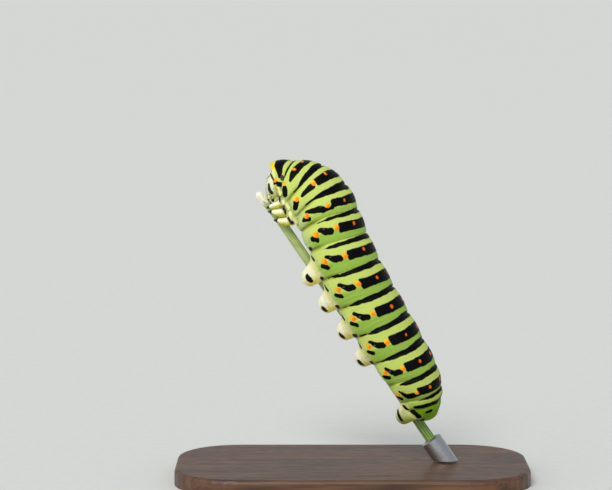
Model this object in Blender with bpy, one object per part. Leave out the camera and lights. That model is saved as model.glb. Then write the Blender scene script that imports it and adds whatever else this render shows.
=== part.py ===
"""British swallowtail larva, final instar, gripping a cut stem on a display stand.

The model is life size, in metres with +Z up. The origin is the middle of the base's underside.
The body is laid out in the stem's own frame: "along" runs down the stem from head to tail,
"out" is square to the stem, up and to the right, and "toward" is square to both, to the front.
"""
import math

import bmesh
import bpy
import numpy as np
from mathutils import Vector

MM = 0.001
GAP = 0.3  # clearance between neighbouring pieces, in mm

# The stem, in mm and degrees
STEM_SLOPE = 55.5
STEM_LEAN = 6.0
STEM_RADIUS = 0.64
STEM_MARK = (-7.67, 3.0, 32.7)  # the point on the stem's axis where "along" is zero
STEM_PATH = ((-9.6, -0.50, 0.42), (-9.2, -0.45, 0.60), (-8.2, -0.32, 0.62), (-7.0, -0.16, 0.58),
             (-5.0, 0.0, 0.62), (0.0, 0.0, 0.64), (12.0, 0.0, 0.64), (25.0, 0.0, 0.66), (35.8, 0.0, 0.70))

# The stand, in mm
BASE_SIZE = (50.0, 27.0, 2.2)
BASE_CORNER = 9.0
BASE_EDGE = 0.5
ROD_RADIUS = 1.5
ROD_LENGTH = 3.6
ROD_SOCKET = 2.8
ROD_EDGE = 0.2

# One row for each fold: place on the stem (along, out, toward), tilt of the fold in the picture
# plane, turn of the fold away from the front, roll of the back toward the front,
# and half width, back height and belly height. Lengths in mm, angles in degrees.
FOLDS = (
    (-9.95, 2.90, 0.9, -66.0, 0.0, 8.0, 2.15, 2.10, 2.40),
    (-8.80, 4.20, 1.2, -36.0, 0.0, 8.0, 2.75, 2.60, 3.00),
    (-6.65, 5.80, 1.6, -13.0, 0.0, 10.0, 3.60, 3.60, 4.10),
    (-3.30, 6.40, 2.0, -1.0, 0.0, 14.0, 4.20, 4.05, 4.40),
    (-0.35, 5.80, 2.3, 12.0, 0.0, 21.0, 4.25, 4.15, 4.08),
    (2.85, 4.95, 2.5, 15.0, 0.0, 28.0, 4.30, 4.20, 3.70),
    (7.05, 4.20, 2.5, 13.5, 1.0, 31.0, 4.35, 4.20, 3.60),
    (11.45, 3.70, 2.4, 12.0, 3.0, 32.0, 4.35, 4.20, 3.35),
    (15.85, 3.35, 2.4, 9.0, 4.0, 35.0, 4.25, 4.15, 3.10),
    (20.30, 3.10, 2.5, 7.0, 6.0, 39.0, 4.05, 3.95, 2.80),
    (24.15, 2.90, 2.6, 10.0, 9.0, 43.0, 3.70, 3.65, 2.50),
    (27.00, 2.50, 2.3, 12.5, 14.0, 45.0, 3.05, 3.00, 2.10),
    (28.25, 2.15, 2.0, 16.0, 18.0, 46.0, 2.60, 2.40, 1.80),
    (29.90, 1.65, 1.6, 24.0, 22.0, 46.0, 1.70, 1.30, 1.10),
)
SEGMENTS = ("thorax_1", "thorax_2", "thorax_3", "abdomen_1", "abdomen_2", "abdomen_3", "abdomen_4",
            "abdomen_5", "abdomen_6", "abdomen_7", "abdomen_8", "abdomen_9", "abdomen_10")
BULGE = 0.07  # how far each segment swells between its folds
BULGE_POWER = 0.7
BELLY_POWER = 0.74  # below 1 flattens the belly
# Pads at the bases of the legs: place, angle from the middle of the back, reach in places,
# reach in degrees, height in mm
PADS = ((0.42, 136.0, 0.40, 26.0, 0.55), (1.66, 146.0, 0.30, 20.0, 0.55), (2.66, 148.0, 0.28, 18.0, 0.75))
RING_POINTS = 32
MERGE = 0.01  # points of a round piece closer than this are one, in mm
RING_STEP = 0.62  # wanted distance between rings, in mm
TAIL_DOME = 0.75
TAIL_TURNS = (25, 50, 72)
TAIL_CUT = 0.6  # size of the last section of the cutter, as a share of the last fold

# The head, in mm, in the frame of the first fold
HEAD_CENTRE = (0.53, -1.27)  # forward of the collar, and up
HEAD_PITCH = 10.0  # how far the face turns up, in degrees
HEAD_HALF = (1.72, 1.0, 2.0)  # half width, half depth, half height
HEAD_TAPER = (0.36, 1.6)  # how far the head narrows down to the mouth, and the power of the curve
HEAD_CLEFT = (0.13, 0.16, 0.35)  # cleft of the crown: depth, half width, reach below the middle
CHEEK_SWELL = (0.06, 0.7, 0.3, 0.2)  # height, place to the side, half width, place upward
BROW_FILL = (0.22, 2.0)  # how far the head deepens towards the crown, and the power of the curve
MOUTH_FILL = (0.40, 1.5)  # the same towards the mouth
HEAD_DETAIL = (36, 24)
ANTENNA_RADIUS = 0.18
ANTENNA_ROOT = (0.68, 1.04, 0.34)  # forward, to the side and up from the middle of the mouth
ANTENNA_REACH = (0.22, 0.18, -0.66)
ANTENNA_STEPS = (0.10, 0.40, 0.75, 1.0)
ANTENNA_TAPER = (1.0, 0.95, 0.65, 0.32)
# The mouth: forward, side and up from the middle of the mouth, then half sizes
MOUTH_DEPTH = 0.25
LABRUM = ((0.34, 0.0, -0.08), (0.40, 0.17, 0.27))
LOWER_LIP = ((-0.42, 0.0, -0.20), (0.40, 0.34, 0.26))
LIP_BASE = ((-0.62, 0.0, 0.08), (0.80, 0.42, 0.40))
JAW = ((0.07, 0.28, -0.20), (0.29, 0.27, 0.32))

# Legs and prolegs: (along, up from the stem's axis, out to the side, radius) in mm
LEG_ROLL = 16.0
LEGS = (
    ((-7.10, 2.95, 1.40, 0.52), (-6.38, 1.96, 1.62, 0.53), (-6.50, 1.12, 1.68, 0.49),
     (-6.78, 0.30, 1.45, 0.31), (-6.98, -0.34, 1.12, 0.13)),
    ((-5.75, 3.10, 1.65, 0.66), (-5.00, 1.98, 1.88, 0.64), (-5.36, 1.02, 1.80, 0.57),
     (-5.98, 0.22, 1.48, 0.36), (-6.40, -0.46, 1.12, 0.13)),
    ((-4.00, 3.10, 1.85, 0.70), (-3.45, 1.92, 1.98, 0.66), (-3.93, 0.96, 1.86, 0.57),
     (-4.50, 0.20, 1.52, 0.36), (-4.95, -0.46, 1.14, 0.13)),
)
LEG_STEPS = 3
# Each proleg: name, along at its root and foot, roll, size
PROLEGS = (
    ("proleg_3", 4.35, 4.65, 31.0, 0.96),
    ("proleg_4", 8.75, 9.10, 31.5, 1.0),
    ("proleg_5", 13.35, 13.75, 33.5, 1.0),
    ("proleg_6", 17.95, 18.30, 37.0, 0.98),
    ("anal_proleg", 27.95, 28.35, 45.0, 0.88),
)
# Down a proleg: up, side, half length along the stem, half thickness
PROLEG_FORM = ((2.6, 2.50, 1.65, 1.20), (1.5, 2.58, 1.58, 1.16), (0.5, 2.42, 1.46, 1.08),
               (-0.35, 2.08, 1.32, 0.98), (-0.98, 1.78, 1.02, 0.76), (-1.32, 1.64, 0.52, 0.40))
PROLEG_POINTS = 18
PROLEG_STEPS = 2
STEM_CUT = (-12.0, 40.0)  # the ends of the cutter round the stem, along it in mm

COLOURS = {
    "skin": (0.47, 0.62, 0.12), "head": (0.60, 0.68, 0.34), "leg": (0.62, 0.60, 0.18),
    "proleg": (0.86, 0.82, 0.52), "stem": (0.16, 0.30, 0.05), "wood": (0.11, 0.055, 0.03),
    "steel": (0.60, 0.61, 0.62),
}


def axes_of_stem():
    """The unit directions along, out and toward, as arrays."""
    slope = math.radians(STEM_SLOPE)
    lean = math.radians(STEM_LEAN)
    right = np.array((1.0, 0.0, 0.0))
    upward = np.array((0.0, math.sin(lean), math.cos(lean)))
    along = math.cos(slope) * right - math.sin(slope) * upward
    out = math.sin(slope) * right + math.cos(slope) * upward
    toward = np.array((0.0, -math.cos(lean), math.sin(lean)))
    return along, out, toward


ALONG, OUT, TOWARD = axes_of_stem()
MARK = np.array(STEM_MARK)


def stem_point(along, out, toward):
    return MARK + along * ALONG + out * OUT + toward * TOWARD


def limb_point(along, up, side, roll):
    """A point beside the stem, in the frame that the roll turns about the stem's axis."""
    angle = math.radians(roll)
    lift = math.cos(angle) * OUT + math.sin(angle) * TOWARD
    left = math.cos(angle) * TOWARD - math.sin(angle) * OUT
    return MARK + along * ALONG + up * lift + side * left


def fold_values(place):
    """The row of FOLDS at a place from 0 to 13, read from a smooth curve through the rows."""
    rows = np.array(FOLDS)
    last = len(rows) - 1
    place = min(max(place, 0.0), float(last))
    k = min(int(place), last - 1)
    f = place - k
    p1, p2 = rows[k], rows[k + 1]
    p0 = rows[k - 1] if k > 0 else 2 * p1 - p2
    p3 = rows[k + 2] if k + 2 <= last else 2 * p2 - p1
    return 0.5 * (2 * p1 + (p2 - p0) * f + (2 * p0 - 5 * p1 + 4 * p2 - p3) * f * f
                  + (3 * p1 - p0 - 3 * p2 + p3) * f ** 3)


def body_frame(place):
    """Centre, tailward, back and left directions, and the three half sizes of a section."""
    along, out, toward, tilt, turn, roll, wide, back, belly = fold_values(place)
    tilt, turn, roll = (math.radians(v) for v in (tilt, turn, roll))
    centre = stem_point(along, out, toward)
    tail = math.cos(turn) * (math.cos(tilt) * ALONG - math.sin(tilt) * OUT) - math.sin(turn) * TOWARD
    rise = math.sin(tilt) * ALONG + math.cos(tilt) * OUT
    near = np.cross(tail, rise)
    near *= math.copysign(1.0, float(near @ TOWARD))
    dorsal = math.cos(roll) * rise + math.sin(roll) * near
    left = math.cos(roll) * near - math.sin(roll) * rise
    return centre, tail, dorsal, left, (wide, back, belly)


def pad_height(place, angle):
    """How far the pads at the bases of the legs raise the skin, in mm."""
    height = 0.0
    for at, around, long, wide, high in PADS:
        turn = (abs(angle) - math.radians(around)) / math.radians(wide)
        height += high * math.exp(-((place - at) / long) ** 2 - turn ** 2)
    return height


def body_ring(place, grow=0.0, shrink=1.0, shift=0.0):
    """The points of one section of the body, from the middle of the back round by the left side."""
    centre, tail, dorsal, left, (wide, back, belly) = body_frame(place)
    swell = 1 + BULGE * abs(math.sin(math.pi * place)) ** BULGE_POWER
    points = []
    for i in range(RING_POINTS):
        angle = 2 * math.pi * i / RING_POINTS
        across, upward = math.sin(angle), math.cos(angle)
        height = back
        if upward < 0:
            height = belly
            across = math.copysign(abs(across) ** BELLY_POWER, across)
            upward = -abs(upward) ** BELLY_POWER
        raised = grow + pad_height(place, math.remainder(angle, 2 * math.pi))
        side_reach = (wide * swell + raised) * shrink
        height_reach = (height * swell + raised) * shrink
        points.append(centre + shift * tail + side_reach * across * left + height_reach * upward * dorsal)
    return points


def place_list(start, end):
    """Places from one fold to the next, with rings about RING_STEP apart."""
    length = float(np.linalg.norm(body_frame(end)[0] - body_frame(start)[0]))
    steps = max(3, round(length / RING_STEP))
    return [start + (end - start) * i / steps for i in range(steps + 1)]


def loft(name, rings):
    """A closed mesh through rings of equally many points, in mm, with a flat cap at each end."""
    bm = bmesh.new()
    rows = [[bm.verts.new(Vector(p) * MM) for p in ring] for ring in rings]
    count = len(rows[0])
    for a, b in zip(rows, rows[1:]):
        for i in range(count):
            j = (i + 1) % count
            bm.faces.new((a[i], a[j], b[j], b[i]))
    bm.faces.new(rows[0])
    bm.faces.new(rows[-1])
    bmesh.ops.triangulate(bm, faces=bm.faces[:])
    bmesh.ops.recalc_face_normals(bm, faces=bm.faces[:])
    mesh = bpy.data.meshes.new(name)
    bm.to_mesh(mesh)
    bm.free()
    return bpy.data.objects.new(name, mesh)


def material(name):
    """The part's material of this name, made once."""
    found = bpy.data.materials.get(name)
    if found:
        return found
    made = bpy.data.materials.new(name)
    made.use_nodes = True
    shader = made.node_tree.nodes["Principled BSDF"]
    shader.inputs["Base Color"].default_value = (*COLOURS[name], 1.0)
    shader.inputs["Roughness"].default_value = 0.3 if name == "steel" else 0.45
    shader.inputs["Metallic"].default_value = 1.0 if name == "steel" else 0.0
    made.diffuse_color = (*COLOURS[name], 1.0)
    return made


def finish(ob, finish_name, smooth=40.0):
    """Put a piece in the model's collection with its material and smooth shading."""
    bpy.data.collections["swallowtail_larva"].objects.link(ob)
    ob.data.materials.clear()
    ob.data.materials.append(material(finish_name))
    ob.data.shade_smooth()
    ob.data.set_sharp_from_angle(angle=math.radians(smooth))
    return ob


def as_cutter(ob):
    bpy.data.collections["cutters"].objects.link(ob)
    ob.hide_render = True
    ob.display_type = "WIRE"
    return ob


def keep_largest(mesh):
    """Drop all but the largest closed surface of a mesh."""
    bm = bmesh.new()
    bm.from_mesh(mesh)
    left = set(bm.verts)
    groups = []
    while left:
        group, todo = set(), [left.pop()]
        while todo:
            vert = todo.pop()
            group.add(vert)
            for edge in vert.link_edges:
                other = edge.other_vert(vert)
                if other in left:
                    left.remove(other)
                    todo.append(other)
        groups.append(group)
    groups.sort(key=len)
    bmesh.ops.delete(bm, geom=[v for group in groups[:-1] for v in group], context="VERTS")
    bm.to_mesh(mesh)
    bm.free()


def combine(ob, others, operation, solver="EXACT"):
    """Apply one Boolean of a collection of meshes to a piece, and keep its largest surface."""
    group = bpy.data.collections.new("joined")
    for other in others:
        group.objects.link(other)
    bpy.context.scene.collection.objects.link(ob)
    modifier = ob.modifiers.new("combine", "BOOLEAN")
    modifier.operation = operation
    modifier.solver = solver
    modifier.operand_type = "COLLECTION"
    modifier.collection = group
    graph = bpy.context.evaluated_depsgraph_get()
    mesh = bpy.data.meshes.new_from_object(ob.evaluated_get(graph))
    bpy.context.scene.collection.objects.unlink(ob)
    ob.modifiers.clear()
    ob.data = mesh
    bpy.data.collections.remove(group)
    keep_largest(mesh)
    return ob


def curve_piece(name, points, radii, resolution=3):
    """A round, tapered piece along smooth points in mm, made a closed mesh."""
    curve = bpy.data.curves.new(name, "CURVE")
    curve.dimensions = "3D"
    curve.bevel_depth = MM
    curve.bevel_resolution = resolution
    curve.use_fill_caps = True
    spline = curve.splines.new("POLY")
    spline.points.add(len(points) - 1)
    for spot, point, radius in zip(spline.points, points, radii):
        spot.co = (*(Vector(point) * MM), 1.0)
        spot.radius = radius
    holder = bpy.data.objects.new(name + "_curve", curve)
    bpy.context.scene.collection.objects.link(holder)
    graph = bpy.context.evaluated_depsgraph_get()
    mesh = bpy.data.meshes.new_from_object(holder.evaluated_get(graph))
    bpy.data.objects.remove(holder)
    bm = bmesh.new()
    bm.from_mesh(mesh)
    bmesh.ops.remove_doubles(bm, verts=bm.verts[:], dist=MERGE * MM)
    bmesh.ops.recalc_face_normals(bm, faces=bm.faces[:])
    bm.to_mesh(mesh)
    bm.free()
    mesh.name = name
    return bpy.data.objects.new(name, mesh)


def smooth_points(points, steps):
    """More points on a smooth curve through the given ones, with their radii alike."""
    rows = np.array(points, dtype=float)
    result = []
    last = len(rows) - 1
    for k in range(last):
        p1, p2 = rows[k], rows[k + 1]
        p0 = rows[k - 1] if k > 0 else 2 * p1 - p2
        p3 = rows[k + 2] if k + 2 <= last else 2 * p2 - p1
        for i in range(steps):
            f = i / steps
            result.append(0.5 * (2 * p1 + (p2 - p0) * f + (2 * p0 - 5 * p1 + 4 * p2 - p3) * f * f
                                 + (3 * p1 - p0 - 3 * p2 + p3) * f ** 3))
    result.append(rows[-1])
    return result


def ellipsoid(name, centre, axes, half, detail=(14, 9)):
    """A UV sphere stretched along three directions, in mm."""
    bm = bmesh.new()
    bmesh.ops.create_uvsphere(bm, u_segments=detail[0], v_segments=detail[1], radius=1.0)
    for vert in bm.verts:
        place = np.array(centre, dtype=float)
        for axis, reach, value in zip(axes, half, vert.co):
            place = place + axis * reach * value
        vert.co = Vector(place) * MM
    bmesh.ops.recalc_face_normals(bm, faces=bm.faces[:])
    mesh = bpy.data.meshes.new(name)
    bm.to_mesh(mesh)
    bm.free()
    return bpy.data.objects.new(name, mesh)


def make_segments():
    """The thirteen lengths of the body, parted by thin flat cuts at the folds."""
    for k, name in enumerate(SEGMENTS):
        places = place_list(k, k + 1)
        rings = [body_ring(p) for p in places]
        if k > 0:
            rings[0] = body_ring(k, shift=GAP / 2)
        if k < len(SEGMENTS) - 1:
            rings[-1] = body_ring(k + 1, shift=-GAP / 2)
        else:
            for degrees in TAIL_TURNS:
                turn = math.radians(degrees)
                rings.append(body_ring(k + 1, shrink=math.cos(turn), shift=TAIL_DOME * math.sin(turn)))
        finish(loft(name, rings), "skin")


def grown_body():
    """The whole body, larger by the gap, which cuts the roots of the legs."""
    rings = []
    for k in range(len(SEGMENTS)):
        rings += [body_ring(p, grow=GAP) for p in place_list(k, k + 1)[:-1]]
    rings.append(body_ring(len(SEGMENTS), grow=GAP))
    rings.append(body_ring(len(SEGMENTS), shrink=TAIL_CUT, shift=TAIL_DOME + GAP))
    return as_cutter(loft("grown_body", rings))


def grown_stem():
    """The stem, larger by the gap, which cuts the soles of the prolegs."""
    ends = [stem_point(along, 0, 0) for along in STEM_CUT]
    return as_cutter(curve_piece("grown_stem", ends, [STEM_RADIUS + GAP] * 2, resolution=6))


def head_half(x, z):
    """Half width, depth and height of the head at a place on the unit sphere."""
    wide, deep, tall = HEAD_HALF
    low = max(0.0, -z)
    taper, power = HEAD_TAPER
    narrow = 1 - taper * low ** power
    depth, reach, start = HEAD_CLEFT
    cleft = 1 - depth * math.exp(-(x / reach) ** 2) * max(0.0, start + z)
    height, place, reach, level = CHEEK_SWELL
    cheek = 1 + height * math.exp(-((abs(x) - place) / reach) ** 2) * max(0.0, 1 - abs(z - level))
    fill = 1 + BROW_FILL[0] * max(0.0, z) ** BROW_FILL[1] + MOUTH_FILL[0] * low ** MOUTH_FILL[1]
    return wide * narrow * cheek, deep * cleft * cheek * fill, tall * cleft


def make_head():
    """A capsule of two lobes that narrows to the mouth, with labrum, jaws and lower lip."""
    centre, tail, dorsal, left, _ = body_frame(0)
    ahead, above = HEAD_CENTRE
    middle = centre - ahead * tail + above * dorsal
    pitch = math.radians(HEAD_PITCH)
    forward = math.sin(pitch) * dorsal - math.cos(pitch) * tail
    up = math.cos(pitch) * dorsal + math.sin(pitch) * tail
    axes = (left, forward, up)
    head = ellipsoid("head", (0, 0, 0), np.eye(3), (1, 1, 1), detail=HEAD_DETAIL)
    for vert in head.data.vertices:
        x, y, z = vert.co / MM
        half = head_half(x, z)
        place = middle + sum(axis * reach * value for axis, reach, value in zip(axes, half, (x, y, z)))
        vert.co = Vector(place) * MM
    mouth = middle - up * (HEAD_HALF[2] - MOUTH_DEPTH)

    def bit(name, form, side=1):
        (front, out, high), half = form
        return ellipsoid(name, mouth + forward * front + left * out * side + up * high, axes, half)

    bits = [bit("labrum", LABRUM), bit("lower_lip", LOWER_LIP), bit("lip_base", LIP_BASE),
            bit("jaw_left", JAW), bit("jaw_right", JAW, -1)]
    combine(head, bits, "UNION")
    for used in bits:
        bpy.data.objects.remove(used)
    bm = bmesh.new()
    bm.from_mesh(head.data)
    plane = Vector(centre - GAP * tail) * MM
    cut = bmesh.ops.bisect_plane(bm, geom=bm.verts[:] + bm.edges[:] + bm.faces[:], plane_co=plane,
                                 plane_no=Vector(tail), clear_outer=True)
    rim = [e for e in cut["geom_cut"] if isinstance(e, bmesh.types.BMEdge)]
    bmesh.ops.contextual_create(bm, geom=rim)
    bmesh.ops.triangulate(bm, faces=bm.faces[:])
    bmesh.ops.recalc_face_normals(bm, faces=bm.faces[:])
    bm.to_mesh(head.data)
    bm.free()
    finish(head, "head")
    for side, name in ((1, "antenna_left"), (-1, "antenna_right")):
        front, out, high = ANTENNA_ROOT
        root = mouth + forward * front + left * side * out + up * high
        front, out, high = ANTENNA_REACH
        aim = forward * front + left * side * out + up * high
        points = [root + aim * f for f in ANTENNA_STEPS]
        radii = [ANTENNA_RADIUS * f for f in ANTENNA_TAPER]
        finish(curve_piece(name, points, radii, resolution=2), "head")


def make_legs(body):
    """Six jointed walking legs, each hooked round the stem, with the root cut by the body."""
    for k, form in enumerate(LEGS):
        for side, word in ((1, "left"), (-1, "right")):
            rows = smooth_points(form, LEG_STEPS)
            points = [limb_point(a, up, out * side, LEG_ROLL) for a, up, out, _ in rows]
            leg = curve_piece(f"leg_{k + 1}_{word}", points, [row[3] for row in rows], resolution=3)
            finish(combine(leg, [body], "DIFFERENCE"), "leg")


def make_prolegs(body, stem):
    """Four pairs of fleshy prolegs and the anal pair, which clasp the stem from both sides."""
    for name, root, foot, roll, size in PROLEGS:
        rows = smooth_points(PROLEG_FORM, PROLEG_STEPS)
        top, bottom = rows[0][0], rows[-1][0]
        for side, word in ((1, "left"), (-1, "right")):
            rings = []
            for k, (up, out, half_length, half_thick) in enumerate(rows):
                share = (top - up) / (top - bottom)
                ahead = rows[min(k + 1, len(rows) - 1)] - rows[max(k - 1, 0)]
                slant = math.atan2(ahead[1], -ahead[0])
                ring = []
                for i in range(PROLEG_POINTS):
                    turn = 2 * math.pi * i / PROLEG_POINTS
                    across = half_thick * size * math.sin(turn)
                    ring.append(limb_point(
                        root + (foot - root) * share + half_length * size * math.cos(turn),
                        up * size + across * math.sin(slant),
                        (out * size + across * math.cos(slant)) * side, roll))
                rings.append(ring)
            proleg = loft(f"{name}_{word}", rings)
            combine(proleg, [body, stem], "DIFFERENCE")
            finish(proleg, "proleg")


def make_stem():
    """The cut length of flower stem, with the pale bud at its tip."""
    rows = smooth_points(STEM_PATH, 2)
    points = [stem_point(along, out, 0) for along, out, _ in rows]
    finish(curve_piece("stem", points, [row[2] for row in rows], resolution=4), "stem")


def make_stand():
    """An oblong base with round corners, and a short rod that holds the stem in its socket."""
    wide, deep, thick = (v * MM for v in BASE_SIZE)
    bpy.ops.mesh.primitive_cube_add(size=1.0, location=(0, 0, thick / 2))
    base = bpy.context.object
    for holder in list(base.users_collection):
        holder.objects.unlink(base)
    base.name = "stand_base"
    for vert in base.data.vertices:
        vert.co = (vert.co.x * wide, vert.co.y * deep, vert.co.z * thick)
    bm = bmesh.new()
    bm.from_mesh(base.data)
    upright = [e for e in bm.edges if abs(e.verts[0].co.z - e.verts[1].co.z) > thick / 2]
    bmesh.ops.bevel(bm, geom=upright, offset=BASE_CORNER * MM, segments=8, profile=0.5, affect="EDGES")
    rim = [e for e in bm.edges if all(v.co.z > 0.4 * thick for v in e.verts)]
    bmesh.ops.bevel(bm, geom=rim, offset=BASE_EDGE * MM, segments=2, profile=0.5, affect="EDGES")
    bm.to_mesh(base.data)
    bm.free()
    finish(base, "wood", smooth=25.0)

    top = BASE_SIZE[2] + GAP
    foot = (MARK[2] - top) / -ALONG[2]
    socket = STEM_PATH[-1][2] + GAP
    profile = ((ROD_RADIUS, 0.0), (ROD_RADIUS, ROD_LENGTH - ROD_EDGE),
               (ROD_RADIUS - ROD_EDGE, ROD_LENGTH), (socket, ROD_LENGTH),
               (socket, ROD_LENGTH - ROD_SOCKET))
    rings = []
    for radius, height in profile:
        ring = []
        for i in range(RING_POINTS):
            turn = 2 * math.pi * i / RING_POINTS
            ring.append(stem_point(foot - height, radius * math.cos(turn), radius * math.sin(turn)))
        rings.append(ring)
    # The rod's foot is cut level, to stand flat on the base
    for i, point in enumerate(rings[0]):
        rings[0][i] = point + ALONG * (point[2] - top) / -ALONG[2]
    finish(loft("stand_rod", rings), "steel")


def main():
    for ob in list(bpy.data.objects):
        bpy.data.objects.remove(ob)
    for name in ("swallowtail_larva", "cutters"):
        bpy.context.scene.collection.children.link(bpy.data.collections.new(name))
    make_segments()
    make_head()
    body, stem = grown_body(), grown_stem()
    make_legs(body)
    make_prolegs(body, stem)
    make_stem()
    make_stand()


main()
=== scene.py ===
"""British swallowtail larva on a cut flower stem: the finished skins, materials, lights and camera.

Every length in the tables is in mm and every angle in degrees. The body is laid out in the stem's
frame, as in the solids: "along" runs down the stem from head to tail, "out" is square to it in the
picture, up and to the right, and "toward" is square to both, to the front. A "place" on the body
counts the folds from 0 at the collar to 13 at the tail, and an angle runs round the body from 0 at
the middle of the back to 90 at the side and 180 at the middle of the belly.
"""

import math
import random
from types import SimpleNamespace

import bpy
import numpy as np
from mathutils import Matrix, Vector
from mathutils.bvhtree import BVHTree

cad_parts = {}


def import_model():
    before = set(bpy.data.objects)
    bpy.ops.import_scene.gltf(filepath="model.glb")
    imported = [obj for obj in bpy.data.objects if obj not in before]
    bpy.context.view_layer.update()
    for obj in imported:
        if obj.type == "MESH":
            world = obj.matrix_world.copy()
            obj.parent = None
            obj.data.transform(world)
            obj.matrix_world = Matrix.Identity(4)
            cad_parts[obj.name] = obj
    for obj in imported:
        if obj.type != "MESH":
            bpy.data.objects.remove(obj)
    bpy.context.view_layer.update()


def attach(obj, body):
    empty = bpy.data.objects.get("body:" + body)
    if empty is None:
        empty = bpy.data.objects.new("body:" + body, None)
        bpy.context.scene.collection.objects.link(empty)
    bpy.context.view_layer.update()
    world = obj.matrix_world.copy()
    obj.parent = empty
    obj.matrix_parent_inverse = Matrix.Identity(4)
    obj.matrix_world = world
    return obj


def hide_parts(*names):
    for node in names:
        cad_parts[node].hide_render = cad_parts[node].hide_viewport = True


MM = 0.001
SIDES = ((1, "left"), (-1, "right"))
SMALL = 1e-9  # keeps a division by a length of zero from failing

# The stem
STEM_SLOPE = 55.5
STEM_LEAN = 6.0
STEM_RADIUS = 0.64
STEM_CLEARANCE = 0.01
STEM_MARK = (-7.67, 3.0, 32.7)  # the point on the stem's axis where "along" is zero
STEM_RIBS = 11
RIB_HEIGHT = 0.035
STEM_ROWS, BUD_ROWS, STEM_COLUMNS = 380, 90, 110
BUD_END = (-8.1, -7.4)  # where the bud's petals pass into the stem
PETAL_GROOVE = 0.17
STEM_PATH = (
    (-9.6, -0.50, 0.42), (-9.2, -0.45, 0.60), (-8.2, -0.32, 0.62), (-7.0, -0.16, 0.58), (-5.0, 0.0, 0.62),
    (0.0, 0.0, 0.64), (12.0, 0.0, 0.64), (25.0, 0.0, 0.66), (35.8, 0.0, 0.70),
)

# One row for each fold: along, out, toward, tilt, turn, roll, half width, back height, belly height
FOLDS = (
    (-9.95, 2.90, 0.9, -66.0, 0.0, 8.0, 2.15, 2.10, 2.40),
    (-8.80, 4.20, 1.2, -36.0, 0.0, 8.0, 2.75, 2.60, 3.00),
    (-6.65, 5.80, 1.6, -13.0, 0.0, 10.0, 3.60, 3.60, 4.10),
    (-3.30, 6.40, 2.0, -1.0, 0.0, 14.0, 4.20, 4.05, 4.40),
    (-0.35, 5.80, 2.3, 12.0, 0.0, 21.0, 4.25, 4.15, 4.08),
    (2.85, 4.95, 2.5, 15.0, 0.0, 28.0, 4.30, 4.20, 3.70),
    (7.05, 4.20, 2.5, 13.5, 1.0, 31.0, 4.35, 4.20, 3.60),
    (11.45, 3.70, 2.4, 12.0, 3.0, 32.0, 4.35, 4.20, 3.35),
    (15.85, 3.35, 2.4, 9.0, 4.0, 35.0, 4.25, 4.15, 3.10),
    (20.30, 3.10, 2.5, 7.0, 6.0, 39.0, 4.05, 3.95, 2.80),
    (24.15, 2.90, 2.6, 10.0, 9.0, 43.0, 3.70, 3.65, 2.50),
    (27.00, 2.50, 2.3, 12.5, 14.0, 45.0, 3.05, 3.00, 2.10),
    (28.25, 2.15, 2.0, 16.0, 18.0, 46.0, 2.60, 2.40, 1.80),
    (29.90, 1.65, 1.6, 24.0, 22.0, 46.0, 1.70, 1.30, 1.10),
)
LAST = len(FOLDS) - 1
BODY_NODES = [f"thorax_{k}" for k in range(1, 4)] + [f"abdomen_{k}" for k in range(1, 11)]
BULGE = 0.07
BULGE_POWER = 0.7
BELLY_POWER = 0.74
# Pads under the thorax that carry the legs: place, angle, half length in places, spread, height
PADS = ((0.42, 136.0, 0.40, 26.0, 0.55), (1.66, 146.0, 0.30, 20.0, 0.55), (2.66, 148.0, 0.28, 18.0, 0.75))
TAIL_DOME = 0.75
TAIL_TURNS = (6, 86, 12)  # first and last angle of the rings that close the tail, and their number
TAIL_PLACES = 0.45  # how far the pattern's places count on over the end of the tail
# Soft oval lobes over the walking legs: place and angle of the two ends, and the half width
LOBES = (
    ((0.20, 112.0), (0.95, 124.0), 0.40), ((1.62, 131.0), (2.38, 136.0), 0.36),
    ((2.65, 134.5), (3.27, 143.5), 0.39),
)
LOBE_HEIGHT = 0.22
LOBE_EDGE = (-0.18, 0.26)  # where a lobe starts to rise, outside its line, and where it is full
# How far each fold's line bows towards the head on the side of the body, in places
FOLD_BOW = (0.0, -0.24, -0.12, -0.28, -0.20, -0.07, -0.05, -0.04, -0.04, -0.10, -0.15, -0.15, -0.10, 0.0)

BODY_STEP = 0.115  # distance between rings of the skin
BODY_COLUMNS = 248
SIDE_RIDGE = (106.0, 10.0, 0.11)  # the soft swelling along the side: angle, spread, height
WRINKLE = 0.028
CREASE_DEPTH = 0.13
CREASE_WIDTH = 0.15
FAINT_RINGS = ((0.24, 0.030), (0.72, 0.036), (0.86, 0.022))  # share of the segment, and depth
FAINT_RING_WIDTH = 0.12
FILLET_RISE = 0.25  # how far two skins that touch swell out, as a share of the fillet's radius
BODY_FILLET = 1.3
FOOT_FILLET = 1.1

# The collar's lip: how far it stands forward over the head at the back and at the belly, the oval hole
# that it leaves for the head (half width, middle, half height), and its rings (inner and outer, number)
LIP = (0.38, 0.16)
LIP_HOLE = (1.40, -0.65, 1.25)
LIP_LOBE = (116.0, 15.0, 0.42)  # where the lip swells forward beside the mouth: angle, spread, reach
LIP_RINGS = (0.06, 1.0, 16)
LIP_FADE = (85, 120)  # the angles between which the back's reach passes into the belly's
LIP_PLACES = 0.22  # how far the pattern's places count back over the lip
LIP_CREST = 0.55  # the share of the lip's rings where it reaches furthest forward

HEAD_CENTRE = (0.53, -1.27)
HEAD_PITCH = 10.0
HEAD_HALF = (1.72, 1.0, 2.0)
HEAD_GRID = (170, 236, 1.5)  # rows, columns, and the angle that stays open round each pole
HEAD_TAPER = 0.36
BROW_FILL = 0.22  # how far the head swells front and back towards the crown and towards the mouth
MOUTH_FILL = 0.40
HEAD_CLEFT = 0.13
CHEEK_SWELL = 0.06
MOUTH_DEPTH = 0.25
FRONS = (0.16, -0.62, 0.30)  # the triangle over the mouth: height of its top and foot, half width there
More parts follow.
